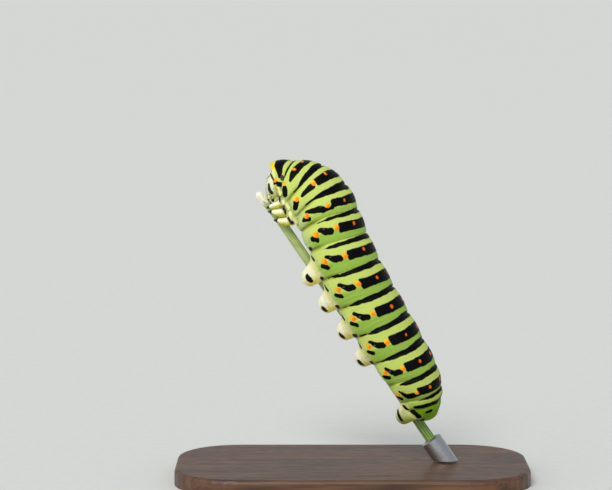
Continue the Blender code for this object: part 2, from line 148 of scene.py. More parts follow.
# The black bars on the head, between two places on the unit sphere: left, up and half width
HEAD_STRIPES = (
    ((0.79, 0.18, 0.22), (0.83, -0.14, 0.33)), ((0.83, -0.14, 0.31), (0.88, -0.42, 0.29)),
    ((0.16, 0.34, 0.11), (0.33, -0.20, 0.14)), ((0.33, -0.20, 0.14), (0.36, -0.56, 0.11)),
    ((0.36, -0.56, 0.12), (0.16, -0.88, 0.10)), ((0.46, 0.74, 0.14), (0.36, 0.52, 0.11)),
)
BROW_SPOT = (0.0, -0.42, 0.17)
# Depth and half width of the seams: over the crown, its fork, the line inside the fork, over the mouth
SEAMS = ((0.050, 0.055), (0.040, 0.045), (0.018, 0.04), (0.030, 0.045))
INNER_LINE = 0.15  # how far inside the fork its line lies
# The dark edge at the back of the head: places left, forward and up on the unit sphere, and half width
REAR_STRIPE = (
    (0.22, 0.30, 0.93, 0.09), (0.45, 0.27, 0.85, 0.12), (0.77, 0.06, 0.64, 0.15), (0.92, -0.30, 0.26, 0.16),
)
EYES = ((0.80, -0.36), (0.90, -0.47), (0.92, -0.60), (0.83, -0.70), (0.66, -0.72), (0.72, -0.55))
EYE_RADIUS = 0.085
EYE_RISE = 0.055
# Mouth parts: place out, forward and up from the mouth, half sizes, how rusty, and how far below its
# middle it turns black, as a share of its half height (9 is beyond its end, so it stays pale)
MOUTH_GRID = (26, 36, 3)
MIDDLE_PARTS = {
    "labrum": ((0.0, 0.34, -0.08), (0.40, 0.17, 0.27), 0.0, 9.0),
    "lower_lip": ((0.0, -0.42, -0.20), (0.40, 0.34, 0.26), 0.0, 9.0),
    "lip_base": ((0.0, -0.62, 0.08), (0.80, 0.42, 0.40), 0.0, 9.0),
    "spinneret": ((0.0, -0.24, -0.46), (0.08, 0.08, 0.20), 0.0, 0.2),
}
SIDE_PARTS = {
    "jaw": ((0.28, 0.07, -0.20), (0.29, 0.27, 0.32), 1.0, 9.0),
    "maxilla": ((0.50, -0.40, -0.20), (0.20, 0.24, 0.26), 0.0, 9.0),
    "palp": ((0.52, -0.20, -0.44), (0.08, 0.08, 0.17), 0.0, 0.1),
}
JAW_EDGE = 0.12  # how far behind its front a jaw stays black
LABRUM_NOTCH = (0.55, 0.3)
ANTENNA_RADIUS = 0.20
ANTENNA_ROOT = (0.76, 0.52, 0.42)  # out, forward and up from the mouth
ANTENNA_REACH = (0.18, 0.22, -0.66)
ANTENNA_TIP = 0.62  # the share of its length from which it is black
# The feeler's joints: share of its length, and share of its radius
ANTENNA_FORM = (
    (-0.25, 1.15), (0.30, 1.05), (0.36, 0.98), (0.40, 0.80), (0.70, 0.74), (0.74, 0.66), (0.78, 0.42),
    (0.97, 0.34), (1.0, 0.06),
)

LEG_ROLL = 16.0
LEG_ROWS = 130
# Each walking leg from its root to its claw: along, up, out and radius
LEGS = (
    ((-7.10, 2.95, 1.40, 0.52), (-6.38, 1.96, 1.62, 0.53), (-6.50, 1.12, 1.68, 0.49),
     (-6.78, 0.30, 1.45, 0.31), (-6.98, -0.34, 1.12, 0.13)),
    ((-5.75, 3.10, 1.65, 0.66), (-5.00, 1.98, 1.88, 0.64), (-5.36, 1.02, 1.80, 0.57),
     (-5.98, 0.22, 1.48, 0.36), (-6.40, -0.46, 1.12, 0.13)),
    ((-4.00, 3.10, 1.85, 0.70), (-3.45, 1.92, 1.98, 0.66), (-3.93, 0.96, 1.86, 0.57),
     (-4.50, 0.20, 1.52, 0.36), (-4.95, -0.46, 1.14, 0.13)),
)
LEG_JOINTS = ((1.25, 0.07, 0.07), (2.15, 0.06, 0.06), (2.95, 0.045, 0.05))  # place, depth, spread
CLAW_BLACK = 2.98  # the place from which a leg is black
CLAW_STEP = (3.45, 3.55, 0.18)  # where the leg steps down to its claw, and by how much of its radius
# The black bar at the root of each leg: place along it and turn round it, start and end; and its half width
LEG_BARS = (((0.54, 54.0), (0.84, 108.0)), ((0.66, 24.0), (1.00, 112.0)), ((1.14, 26.0), (0.98, 118.0)))
LEG_BAR_HALVES = (0.27, 0.29)
# Name, root and foot along the stem, roll, size; and the black plate: height, turn, half width
PROLEGS = (
    ("proleg_3", 4.35, 4.65, 31.0, 0.96, (0.48, 81.0, 31.0)),
    ("proleg_4", 8.75, 9.10, 31.5, 1.0, (0.69, 68.0, 30.0)),
    ("proleg_5", 13.35, 13.75, 33.5, 1.0, (0.68, 73.0, 30.0)),
    ("proleg_6", 17.95, 18.30, 37.0, 0.98, (0.65, 72.0, 30.0)),
    ("anal_proleg", 27.95, 28.35, 45.0, 0.88, (0.47, 110.0, 55.0)),
)
PLATE_HALF = 0.40  # half height of the black plates, in mm
# From the root to the sole: up, out, half length and half thickness
PROLEG_FORM = (
    (2.6, 2.50, 1.65, 1.20), (1.5, 2.58, 1.58, 1.16), (0.5, 2.42, 1.46, 1.08), (-0.35, 2.08, 1.32, 0.98),
    (-0.98, 1.78, 1.02, 0.76), (-1.32, 1.64, 0.52, 0.40),
)
PROLEG_ROWS, PROLEG_COLUMNS = 66, 72
# Folds and swellings round a proleg: height from 0 at the root to 1, spread, and rise in mm
PROLEG_RINGS = ((0.44, 0.022, -0.045), (0.70, 0.020, -0.040), (0.82, 0.055, 0.035), (0.93, 0.018, -0.035))

# The pattern. A place in it is a fold's number and the share of the segment behind that fold.
# For each abdominal segment: its fold; front, back and lower end of the black block; back dot; side
# dot; tip, middle and end of the black comma; low dot; the black bar under it; and the marks' size
PATTERN = (
    (3, (0.40, 0.72, 62.0), (0.55, 33.0), (0.56, 68.5), ((0.25, 106.0), (0.47, 92.0), (0.62, 79.0)),
     (0.45, 105.5), (0.60, 110.5), 1.0),
    (4, (0.37, 0.75, 55.5), (0.50, 24.0), (0.52, 60.0), ((0.41, 91.0), (0.535, 80.5), (0.585, 70.5)),
     (0.545, 94.8), (0.715, 100.0), 1.0),
    (5, (0.39, 0.71, 54.0), (0.49, 20.0), (0.53, 58.0), ((0.385, 91.0), (0.53, 78.0), (0.55, 69.0)),
     (0.515, 93.8), (0.69, 97.8), 1.0),
    (6, (0.35, 0.68, 53.5), (0.48, 19.5), (0.48, 57.5), ((0.31, 90.0), (0.49, 77.0), (0.51, 69.0)),
     (0.45, 93.5), (0.64, 98.0), 1.0),
    (7, (0.335, 0.68, 53.0), (0.50, 20.5), (0.485, 58.2), ((0.28, 90.0), (0.48, 78.0), (0.51, 69.5)),
     (0.43, 93.5), (0.61, 98.0), 1.0),
    (8, (0.34, 0.68, 54.0), (0.51, 21.0), (0.49, 59.2), ((0.27, 90.0), (0.465, 78.0), (0.505, 69.0)),
     (0.41, 93.5), (0.62, 97.5), 0.95),
    (9, (0.32, 0.67, 52.0), (0.47, 19.5), (0.50, 56.5), ((0.30, 89.0), (0.56, 76.0), (0.57, 65.0)),
     (0.44, 93.0), (0.63, 97.0), 0.92),
    (10, (0.39, 0.78, 50.0), (0.52, 20.0), (0.61, 53.5), ((0.37, 90.0), (0.67, 78.0), (0.66, 62.0)),
     (0.50, 94.0), (0.71, 100.5), 0.85),
)
BLOCK_EDGES = ((-0.02, 0.01, -0.01), (0.0, -0.02, -0.02))  # bends of a block's front and back edges
BLOCK_BEND = 30  # the angle at which they bend
COMMA_HALVES = (0.21, 0.46, 0.40)
FIRST_COMMA_HALVES = (0.17, 0.35, 0.30)
UNDER_BAR = ((0.02, -4, 0.31), (-0.08, 4, 0.27))  # its ends: share and angle from its middle, half width
# The orange dots: ends from the dot's middle, with the half width and how yellow it is; how deep the orange
BACK_DOT = ((-0.01, 0, 0.23, 0.0), (0.01, 0, 0.23, 0.0), 1.0)
SIDE_DOT = ((-0.06, 1, 0.33, 0.6), (0.0, 0, 0.35, 0.0), 0.0)
LOW_DOT = ((-0.05, 2.5, 0.33, 0.5), (0.0, 0, 0.36, 0.0), 0.1)
FOOT_SPOT = (0.918, 127.8, 0.37)  # the black spot low on each side: share of the segment, angle, radius
FOOT_SPOT_FOLDS = range(4, 9)
SPOT_REACH = 1.0  # how far out a foot spot also marks the root of the proleg, in mm
FRONT_DASH = ((0.18, 131.0, 0.10), (0.34, 121.0, 0.19))  # black dash ahead of each proleg
BAND_CREASE_SHADE = ((0.015, 84.0, 0.10), (0.0, 108.0, 0.01))  # painted crease shade: a thin black line from the band's end on down along the fold
# The black band over each fold: its middle and half width in places, at each of BAND_ANGLES
BAND_ANGLES = (0.0, 25.0, 50.0, 75.0, 100.0)
BAND_NARROWING = 0.004  # for each degree beyond the last angle
BANDS = (
    ((1.04, 1.03, 1.03, 1.02, 0.99), (0.050, 0.050, 0.045, 0.042, -0.03)),
    ((1.97, 1.91, 1.92, 1.96, 2.02), (0.10, 0.125, 0.115, 0.10, 0.025)),
    ((3.03, 3.00, 3.05, 3.01, 2.94), (0.16, 0.155, 0.14, 0.10, 0.0)),
    ((4.01, 4.04, 4.08, 4.10, 4.10), (0.10, 0.075, 0.07, 0.05, -0.05)),
    ((5.10, 5.09, 5.11, 5.12, 5.11), (0.095, 0.075, 0.065, 0.055, -0.03)),
    ((6.01, 6.04, 6.06, 6.06, 6.06), (0.09, 0.085, 0.07, 0.057, -0.022)),
    ((6.98, 7.00, 7.01, 7.01, 7.01), (0.09, 0.085, 0.08, 0.058, -0.030)),
    ((7.98, 8.01, 8.03, 8.03, 8.03), (0.105, 0.085, 0.075, 0.055, -0.030)),
    ((8.94, 8.98, 9.00, 9.00, 9.00), (0.115, 0.09, 0.075, 0.055, -0.032)),
    ((9.98, 10.01, 10.07, 10.09, 10.09), (0.10, 0.09, 0.095, 0.06, -0.10)),
    ((11.00, 11.03, 11.04, 11.03, 11.03), (0.10, 0.10, 0.04, -0.10, -0.2)),
)
# The black blocks on the thorax: front edges, back edges and the angles that they are read at
BLOCKS = (
    ((0.23, 0.19, 0.14, 0.12, 0.19, 0.27, 0.36), (0.84, 0.82, 0.74, 0.63, 0.67, 0.72, 0.66),
     (0, 10, 20, 45, 60, 75, 88)),
    ((1.34, 1.28, 1.23, 1.26, 1.30, 1.44), (1.60, 1.59, 1.58, 1.57, 1.57, 1.56), (0, 30, 45, 60, 72, 91)),
    ((2.34, 2.26, 2.25, 2.27), (2.65, 2.63, 2.63, 2.61), (0, 20, 45, 65)),
    ((2.34, 2.30, 2.42), (2.58, 2.58, 2.55), (71, 85, 98)),
)
BLOCK_CORNER = 0.22
# Other black bars, from one place, angle and half width to another
BARS = (
    ((0.03, 99, 0.28), (0.72, 99.5, 0.34)), ((-0.10, 52, 0.04), (-0.09, 78, 0.07)),
    ((-0.09, 78, 0.07), (-0.05, 102, 0.10)), ((2.77, 146, 0.22), (2.86, 150, 0.30)),
    ((1.31, 104, 0.40), (1.53, 117, 0.42)), ((2.48, 111, 0.46), (2.66, 120, 0.42)),
    ((3.54, 117, 0.20), (3.70, 103, 0.22)), ((3.70, 60, 0.20), (3.67, 80, 0.22)),
    ((10.72, 74, 0.25), (10.70, 48, 0.22)), ((11.50, 75, 0.20), (11.66, 50, 0.40)),
    ((11.66, 50, 0.40), (11.72, 24, 0.37)), ((11.72, 24, 0.37), (11.86, 0, 0.34)),
    ((11.26, 104, 0.20), (12.02, 96, 0.34)), ((12.02, 96, 0.34), (12.58, 76, 0.38)),
    ((12.38, 42, 0.21), (12.36, 27, 0.21)), ((12.98, 62, 0.13), (13.12, 88, 0.15)),
)
# Orange marks: bars as above with how yellow each end is, and how deep the orange
GLOW = (
    ((-0.02, 94, 0.22, 0.2), (0.11, 91, 0.20, 0.7), 0.0),
    ((1.30, 10, 0.20, 0.5), (1.37, 20, 0.20, 0.1), 0.3),
    ((1.30, 53, 0.24, 0.5), (1.37, 55, 0.20, 0.0), 0.3),
    ((1.10, 98, 0.25, 0.9), (1.22, 96, 0.27, 0.4), 0.0),
    ((2.31, 33, 0.24, 0.3), (2.38, 34, 0.20, 0.0), 0.4),
    ((2.30, 67.5, 0.30, 0.8), (2.42, 69, 0.30, 0.1), 0.0),
    ((2.24, 109, 0.34, 1.0), (2.40, 106, 0.37, 0.1), 0.0),
)
BLACK_SPREAD = 0.05
EDGE_SHIFTS = (-8.0, -5.0, -2.0, 2.0, 5.0, 8.0)  # to round the corners in the edges of bands and blocks
COLLAR = ((-0.05, 4, 0.36), (-0.03, 46, 0.30))  # the bright yellow of the collar

# Hooks and hairs: how many on each foot, on the head, on each segment's side and at the tail
HOOKS = 22
HOOK_ROWS = ((0.95, 0.20), (0.90, 0.26))  # height on the foot and length of every other hook
HOOK_TURNS = (205, 130)  # the first hook's turn round the foot, and the turn to the last
HOOK_RADIUS = 0.032
FOOT_HAIRS = 12
HEAD_HAIRS = 70
SIDE_HAIRS = 5
TAIL_HAIRS = 9
HAIR_RADIUS = 0.011
STRAND_ROWS = 6
STRAND_SIDES = 5

# Breathing holes: place, angle and half height; and the rings of one, share of its size and height
SPIRACLES = [(0.80, 85.5, 0.42)] + [(k + 0.44 - 0.02 * (k > 5), 83.5, 0.20) for k in range(3, 11)]
SPIRACLE_RINGS = (
    (0.03, -0.03), (0.2, -0.02), (0.38, 0.0), (0.52, 0.03), (0.66, 0.055), (0.8, 0.05), (0.92, 0.02),
    (1.0, -0.05), (1.02, -0.22),
)
SPIRACLE_COLUMNS = 28
SPIRACLE_WIDTH = 0.58  # as a share of its height
SPIRACLE_LIFT = 0.17  # how far a breathing hole stands off the skin, as a share of its half height

# Camera, in mm: it looks along the photo's line of sight at the point in the middle of the picture
CAMERA_DISTANCE = 342.0
PICTURE_WIDTH = 612
PICTURE_CENTRE = (306.0, 245.0)
MARK_PIXEL = (298.0, 246.0)
PIXEL = 0.142
SENSOR = 36.0

# Light: a broad soft sun from above and the front, and a weaker one low on the left, in a pale studio
FLOOR_RADIUS = 40.0
SKY_EDGE = (0.66, 0.67, 0.66, 1.0)
SKY_TOP = (0.42, 0.44, 0.46, 1.0)
SUNS = (
    ("key", 1.65, 28.0, (-0.30, -0.85, 0.85), (1.0, 0.985, 0.95)),
    ("fill", 0.55, 70.0, (-0.95, -0.55, 0.12), (1.0, 1.0, 0.98)),
)


def smooth_step(value, low, high):
    t = np.clip((value - low) / (high - low), 0, 1)
    return t * t * (3 - 2 * t)


def between(value, rise, full, fall, end):
    """0 before rise, 1 from full to fall, and 0 again after end."""
    return smooth_step(value, rise, full) * (1 - smooth_step(value, fall, end))


def bell(value, middle, spread):
    return np.exp(-((value - middle) / spread) ** 2)


def unit(vectors, small=0.0):
    return vectors / (np.linalg.norm(vectors, axis=-1, keepdims=True) + small)


def full_turn(columns):
    return np.linspace(0, 2 * math.pi, columns, endpoint=False)


def axes_of_stem():
    """The unit directions along, out and toward, and up in the picture, as arrays."""
    slope, lean = math.radians(STEM_SLOPE), math.radians(STEM_LEAN)
    right = np.array((1.0, 0.0, 0.0))
    upward = np.array((0.0, math.sin(lean), math.cos(lean)))
    along = math.cos(slope) * right - math.sin(slope) * upward
    out = math.sin(slope) * right + math.cos(slope) * upward
    return along, out, np.array((0.0, -math.cos(lean), math.sin(lean))), upward


ALONG, OUT, TOWARD, UPWARD = axes_of_stem()
MARK = np.array(STEM_MARK)


def spline(rows, place):
    """Rows read at places, from a smooth curve through them."""
    rows = np.array(rows, dtype=float)
    last = len(rows) - 1
    place = np.clip(np.asarray(place, dtype=float), 0.0, last)
    k = np.minimum(place.astype(int), last - 1)
    f = (place - k)[..., None]
    rows = np.vstack((2 * rows[0] - rows[1], rows, 2 * rows[-1] - rows[-2]))
    p0, p1, p2, p3 = (rows[k + i] for i in range(4))
    return 0.5 * (2 * p1 + (p2 - p0) * f + (2 * p0 - 5 * p1 + 4 * p2 - p3) * f ** 2
                  + (3 * p1 - p0 - 3 * p2 + p3) * f ** 3)


def stem_points(along, out, toward, lift=OUT, left=TOWARD):
    """Points in the stem's frame, or in one that is rolled about the stem, from arrays of equal shape."""
    parts = np.broadcast_arrays(along, out, toward)
    return MARK + sum(part[..., None] * axis for part, axis in zip(parts, (ALONG, lift, left)))


def limb_axes(roll):
    """The directions up and sideways for a limb, in the frame that the roll turns about the stem."""
    angle = math.radians(roll)
    lift = math.cos(angle) * OUT + math.sin(angle) * TOWARD
    left = math.cos(angle) * TOWARD - math.sin(angle) * OUT
    return lift, left


def body_frames(place):
    """For places on the body: centre, tailward, back and left directions, and the half sizes."""
    along, out, toward, tilt, turn, roll, *sizes = spline(FOLDS, place).T
    tilt, turn, roll = (np.radians(v)[:, None] for v in (tilt, turn, roll))
    tail = np.cos(turn) * (np.cos(tilt) * ALONG - np.sin(tilt) * OUT) - np.sin(turn) * TOWARD
    rise = np.sin(tilt) * ALONG + np.cos(tilt) * OUT
    near = np.cross(tail, rise)
    near *= np.sign(near @ TOWARD)[:, None]
    dorsal = np.cos(roll) * rise + np.sin(roll) * near
    left = np.cos(roll) * near - np.sin(roll) * rise
    return stem_points(along, out, toward), tail, dorsal, left, sizes


def pattern_place(place, angle):
    """The place as the folds' own bowed lines count it."""
    return place - np.interp(place, range(LAST + 1), FOLD_BOW) * np.sin(angle) ** 2


def round_steps(points):
    """The step between the two neighbours of each point in its row."""
    return np.roll(points, -1, axis=1) - np.roll(points, 1, axis=1)


def normals_of(points):
    """Unit normals of a closed grid of points, rows along the body and columns round it."""
    normal = unit(np.cross(round_steps(points), np.gradient(points, axis=0)), SMALL)
    outward = points - points.mean(axis=1, keepdims=True)
    return normal * np.sign((normal * outward).sum() or 1.0)


def ring_faces(rows, columns, first=0):
    """Faces of a grid that is closed round its columns, where first is its first point's number."""
    faces = []
    for a in range(first, first + (rows - 1) * columns, columns):
        b = a + columns
        faces += [(a + c, a + (c + 1) % columns, b + (c + 1) % columns, b + c) for c in range(columns)]
    return faces


def add_object(name, data):
    ob = bpy.data.objects.new(name, data)
    bpy.context.scene.collection.objects.link(ob)
    return ob


def mesh_object(name, points, faces):
    """A smooth mesh object from points in mm."""
    mesh = bpy.data.meshes.new(name)
    mesh.from_pydata([tuple(p) for p in points * MM], [], faces)
    mesh.shade_smooth()
    return add_object(name, mesh)


def grid_object(name, points, values, cap_end=True):
    """A mesh object from a grid closed round its columns and over its ends, with values as attributes."""
    rows, columns, _ = points.shape
    faces = ring_faces(rows, columns)
    caps = (0, rows - 1) if cap_end else (0,)
    for k, row in enumerate(caps):
        tip, first = rows * columns + k, row * columns
        ring = [(first + c, first + (c + 1) % columns) for c in range(columns)]
        faces += [(i, j, tip) if row else (j, i, tip) for i, j in ring]
    tips = [points[row].mean(axis=0) for row in caps]
    ob = mesh_object(name, np.vstack((points.reshape(-1, 3), *tips)), faces)
    for key, value in values.items():
        value = np.broadcast_to(value, (rows, columns))
        layer = ob.data.attributes.new(key, "FLOAT", "POINT")
        with_tips = np.append(value, [value[row].mean() for row in caps])
        layer.data.foreach_set("value", with_tips.astype(np.float32))
    return ob


def fillet(points, others, radius):
    """Push a skin out where it nears another, so that the two run together in a soft hollow.

    Also gives how near each point is, from 1 where they touch to 0 at the radius.
    """
    flat, normals = points.reshape(-1, 3).copy(), normals_of(points).reshape(-1, 3)
    near = np.zeros(len(flat))
    for other in others:
        spots = other.reshape(-1, 3)
        tree = BVHTree.FromPolygons([tuple(p) for p in spots], ring_faces(*other.shape[:2]))
        inside = (flat > spots.min(0) - radius) & (flat < spots.max(0) + radius)
        for i in np.nonzero(inside.all(axis=1))[0]:
            spot, _, _, distance = tree.find_nearest(Vector(flat[i]), radius)
            if spot is not None:
                share = 1 - distance / radius
                flat[i] += normals[i] * radius * FILLET_RISE * share ** 2
                near[i] = max(near[i], share)
    return flat.reshape(points.shape), near.reshape(points.shape[:2])


def clear_of_stem(points):
    """Lay points that would sink into the stem on its surface."""
    axis = MARK + ((points - MARK) @ ALONG)[..., None] * ALONG
    away = points - axis
    distance = np.linalg.norm(away, axis=-1, keepdims=True)
    reach = STEM_RADIUS + STEM_CLEARANCE
    return np.where(distance < reach, axis + away / (distance + SMALL) * reach, points)


# Marks on the skin, as distances in mm that are below zero inside the mark


def bar_distance(skin, start, end):
    """A rounded bar from start to end, each a place, an angle and a half width; and the share along it."""
    (place, angle, thick), (far, turn, end_thick) = start[:3], end[:3]
    px, py = (skin.v - place) * skin.speed, np.radians(skin.degrees - angle) * skin.radius
    dx, dy = (far - place) * skin.speed, math.radians(turn - angle) * skin.radius
    share = np.clip((px * dx + py * dy) / (dx * dx + dy * dy + SMALL), 0, 1)
    return np.hypot(px - share * dx, py - share * dy) - (thick + (end_thick - thick) * share), share


def read_edge(skin, angles, values):
    """The values read at the angles, with the corners between them rounded."""
    read_at = (np.abs(skin.degrees + shift) for shift in EDGE_SHIFTS)
    return sum(np.interp(degrees, angles, values) for degrees in read_at) / len(EDGE_SHIFTS)


def block_distance(skin, fronts, backs, angles):
    """A block with edges read at the angles; it ends at the last, and at the first if that isn't zero."""
    front, back = read_edge(skin, angles, fronts), read_edge(skin, angles, backs)
    half = (back - front) / 2 * skin.speed
    across = np.abs(skin.v - (front + back) / 2) * skin.speed - half + BLOCK_CORNER
    middle, reach = (angles[0] + angles[-1]) / 2, (angles[-1] - angles[0]) / 2
    beyond = np.abs(skin.degrees - middle) - reach if angles[0] else skin.degrees - angles[-1]
    around = np.radians(beyond) * skin.radius + BLOCK_CORNER
    outside = np.hypot(np.maximum(across, 0), np.maximum(around, 0))
    return np.minimum(np.maximum(across, around), 0) + outside - BLOCK_CORNER


def band_distance(skin, middles, halves):
    middle, half = read_edge(skin, BAND_ANGLES, middles), read_edge(skin, BAND_ANGLES, halves)
    half = half - BAND_NARROWING * np.maximum(0, skin.degrees - BAND_ANGLES[-1])
    return (np.abs(skin.v - middle) - half) * skin.speed


def moved(ends, spot):
    """Ends given from a spot's place and angle, moved to the spot."""
    return [(spot[0] + share, spot[1] + angle, *rest) for share, angle, *rest in ends]


def segment_marks(skin, fold, block, back_dot, side_dot, comma, low_dot, under, size):
    """The black marks of an abdominal segment and the thin black lines of painted crease shade at some of
    its folds, as distances, and its orange dots, as rows of GLOW.
    """
    edges = ([fold + block[k] + bend for bend in BLOCK_EDGES[k]] for k in (0, 1))
    black = [block_distance(skin, *edges, (0, BLOCK_BEND, block[2]))]
    halves = COMMA_HALVES if fold > 3 else FIRST_COMMA_HALVES
    tip, middle, end = ((*spot, half) for spot, half in zip(comma, halves))
    bars = [(tip, middle), (middle, end), moved(UNDER_BAR, under)]
    if fold > 4:
        bars.append(FRONT_DASH)
    # the ends of some bands run on down their folds as thin black lines of painted crease shade
    if 5 < fold < 10:
        bars.append(BAND_CREASE_SHADE)
    for bar in bars:
        ends = ((fold + share, angle, half * (0.6 + 0.4 * size)) for share, angle, half in bar)
        black.append(bar_distance(skin, *ends)[0])
    dots = []
    for (*ends, depth), spot in ((BACK_DOT, back_dot), (SIDE_DOT, side_dot), (LOW_DOT, low_dot)):
        ends = ((fold + share, angle, half * size, tint) for share, angle, half, tint in moved(ends, spot))
        dots.append((*ends, depth))
    return black, dots


def body_marks(skin):
    """Distances to the black marks, among them thin lines of painted crease shade, and to the orange ones
    with how yellow and how deep they are.
    """
    black = [band_distance(skin, *band) for band in BANDS]
    black += [block_distance(skin, *block) for block in BLOCKS]
    black += [bar_distance(skin, *bar)[0] for bar in BARS]
    glow = list(GLOW)
    for row in PATTERN:
        more, dots = segment_marks(skin, *row)
        black += more
        glow += dots
    orange, tint, deep = np.full(skin.v.shape, np.inf), 0 * skin.v, 0 * skin.v
    for start, end, depth in glow:
        away, share = bar_distance(skin, start, end)
        nearer = away < orange
        orange = np.where(nearer, away, orange)
        tint = np.where(nearer, start[3] + (end[3] - start[3]) * share, tint)
        deep = np.where(nearer, depth, deep)
    return np.minimum.reduce(black) - BLACK_SPREAD, orange, tint, deep


def nearest_cell(skin, place, degrees):
    """Row and column of the skin's grid at a place and a signed angle."""
    away = np.hypot((skin.v - place) * 3, skin.signed - math.radians(degrees))
    return np.unravel_index(away.argmin(), away.shape)


def segment_distance(points, start, end, start_radius, end_radius):
    """Distance in mm to the surface of a rounded bar between two points in space."""
    step = end - start
    share = np.clip(((points - start) @ step) / (step @ step + SMALL), 0, 1)
    gap = np.linalg.norm(points - start - share[..., None] * step, axis=-1)
    return gap - (start_radius + (end_radius - start_radius) * share)


def lobe_distance(skin, points):
    """Distance in mm to the lobes over the legs, below zero inside them."""
    away = []
    for *spots, half in LOBES:
        for side, _ in SIDES:
            ends = (points[nearest_cell(skin, place, side * angle)] for place, angle in spots)
            away.append(segment_distance(points, *ends, half, half))
    return np.minimum.reduce(away)


def foot_spots(skin):
    """The black spots low on the sides, which also mark the prolegs: two ends and two radii of each."""
    share, angle, radius = FOOT_SPOT
    cells = (nearest_cell(skin, fold + share, side * angle) for fold in FOOT_SPOT_FOLDS for side, _ in SIDES)
    spots = []
    for cell in cells:
        spot, side = skin.points[cell], np.sign(skin.signed[cell])
        spots.append((spot, spot + side * SPOT_REACH * TOWARD, radius, radius))
    return spots


def skin_rings():
    """The rings of the skin, from inside the collar's lip to the end of the tail, as columns.

    They are: the place whose frame a ring has, the place that the pattern counts, its size as a share,
    how far it lies behind that frame, how far it turns in to the lip's hole, and how far forward.
    """
    rough = np.linspace(0, LAST, 600)
    centre, _, dorsal, _, _ = body_frames(rough)
    length = np.append(0, np.cumsum(np.linalg.norm(np.diff(centre + 2.0 * dorsal, axis=0), axis=1)))
    place = np.interp(np.linspace(0, length[-1], int(length[-1] / BODY_STEP)), length, rough)
    turns = np.radians(np.linspace(*TAIL_TURNS))
    # Over the lip the skin turns forward and in, and then back round the head
    neck = np.linspace(*LIP_RINGS)[::-1]
    over = math.pi / 2 * np.clip(neck / LIP_CREST, 0, 1)
    under = smooth_step(neck, 0.50, 1.0)
    columns = (
        (0, place, LAST),
        (-LIP_PLACES * neck, place, LAST + TAIL_PLACES * np.sin(turns)),
        (1, 1, np.cos(turns)),
        (0, 0, TAIL_DOME * np.sin(turns)),
        (0.30 * (1 - np.cos(over)) + 0.70 * under, 0, 0),
        (np.sin(over) * (1 - 1.5 * under), 0, 0),
    )
    zeros = (0 * neck, 0 * place, 0 * turns)
    filled = ([part + zero for part, zero in zip(column, zeros)] for column in columns)
    return [np.concatenate(parts)[:, None] for parts in filled]


def body_relief(skin):
    """Creases at the folds, faint rings between them, the ridge along the side and fine wrinkles."""
    fold, share = np.floor(skin.v), skin.v - np.floor(skin.v)
    in_body = (np.round(skin.v) >= 1) & (np.round(skin.v) <= LAST - 1)
    fade = np.where(in_body, 1 - 0.45 * bell(np.abs(skin.signed), math.pi, 0.5), 0)
    relief = -CREASE_DEPTH * fade * bell(skin.to_fold, 0, CREASE_WIDTH)
    for at, depth in FAINT_RINGS:
        relief = relief - depth * fade * bell((share - at) * skin.speed, 0, FAINT_RING_WIDTH)
    angle, spread, height = SIDE_RIDGE
    ridge = bell(skin.degrees, angle, spread) * np.sin(math.pi * share) ** 0.8
    relief = relief + height * ridge * in_body * smooth_step(skin.v, 1.0, 3.0)
    waver = np.sin(3 * skin.signed + 1.7 * fold) + 0.6 * np.sin(7 * skin.signed + 2.9 * fold)
    ripple = 0.5 + 0.5 * np.sin(2 * math.pi * (7 * share + 0.22 * waver))
    return relief - WRINKLE * fade * ripple ** 2


def body_skin():
    """The whole soft skin from the collar to the tail, and what its pattern is laid out by."""
    places, counted, shrink, shift, inward, ahead = skin_rings()
    angle = full_turn(BODY_COLUMNS)
    signed = np.where(angle > math.pi, angle - 2 * math.pi, angle)[None, :]
    around = np.abs(signed)
    degrees = np.degrees(around)
    centre, tail, dorsal, left, sizes = body_frames(places[:, 0])
    wide, back, belly = (size[:, None] for size in sizes)
    v = pattern_place(np.clip(counted, 0, None), around) + np.minimum(counted, 0)
    swell = 1 + BULGE * np.abs(np.sin(math.pi * np.clip(v, 0, LAST))) ** BULGE_POWER
    pads = sum(high * bell(places, at, long) * bell(degrees, middle, broad)
               for at, middle, long, broad, high in PADS)
    across, upward = np.sin(signed), np.cos(signed)
    low = upward < 0
    across = np.where(low, np.sign(across) * np.abs(across) ** BELLY_POWER, across)
    upward = np.where(low, -np.abs(upward) ** BELLY_POWER, upward)
    height = np.where(low, belly, back)
    lip = LIP[1] + (LIP[0] - LIP[1]) * (1 - smooth_step(degrees, *LIP_FADE))
    lip = lip + LIP_LOBE[2] * bell(degrees, *LIP_LOBE[:2])

    def surface(relief):
        side = (wide * swell + pads + relief) * shrink * across
        rise = (height * swell + pads + relief) * shrink * upward
        side += inward * (LIP_HOLE[0] * across - side)
        rise += inward * (LIP_HOLE[1] + LIP_HOLE[2] * upward - rise)
        parts = ((shift - ahead * lip, tail), (side, left), (rise, dorsal))
        return centre[:, None] + sum(part[..., None] * axis[:, None] for part, axis in parts)

    points = surface(0.0)
    step = np.linalg.norm(np.gradient(points, axis=0), axis=2)
    speed = step / (np.gradient(counted[:, 0])[:, None] + 1e-6)
    radius = np.maximum(np.linalg.norm(round_steps(points), axis=2) / (4 * math.pi / BODY_COLUMNS), 0.4)
    skin = SimpleNamespace(v=v, signed=signed + 0 * v, degrees=degrees + 0 * v, speed=speed, radius=radius)
    skin.to_fold = np.abs(v - np.round(v)) * speed
    skin.lobe = lobe_distance(skin, points)
    lobe = smooth_step(-skin.lobe, *LOBE_EDGE)
    filled = (1 + BULGE - swell) * wide
    skin.points = surface(body_relief(skin) * (1 - lobe) + (LOBE_HEIGHT + filled) * lobe)
    skin.length = np.cumsum(step, axis=0)
    skin.round = np.cumsum(radius, axis=1) * 2 * math.pi / BODY_COLUMNS
    return skin


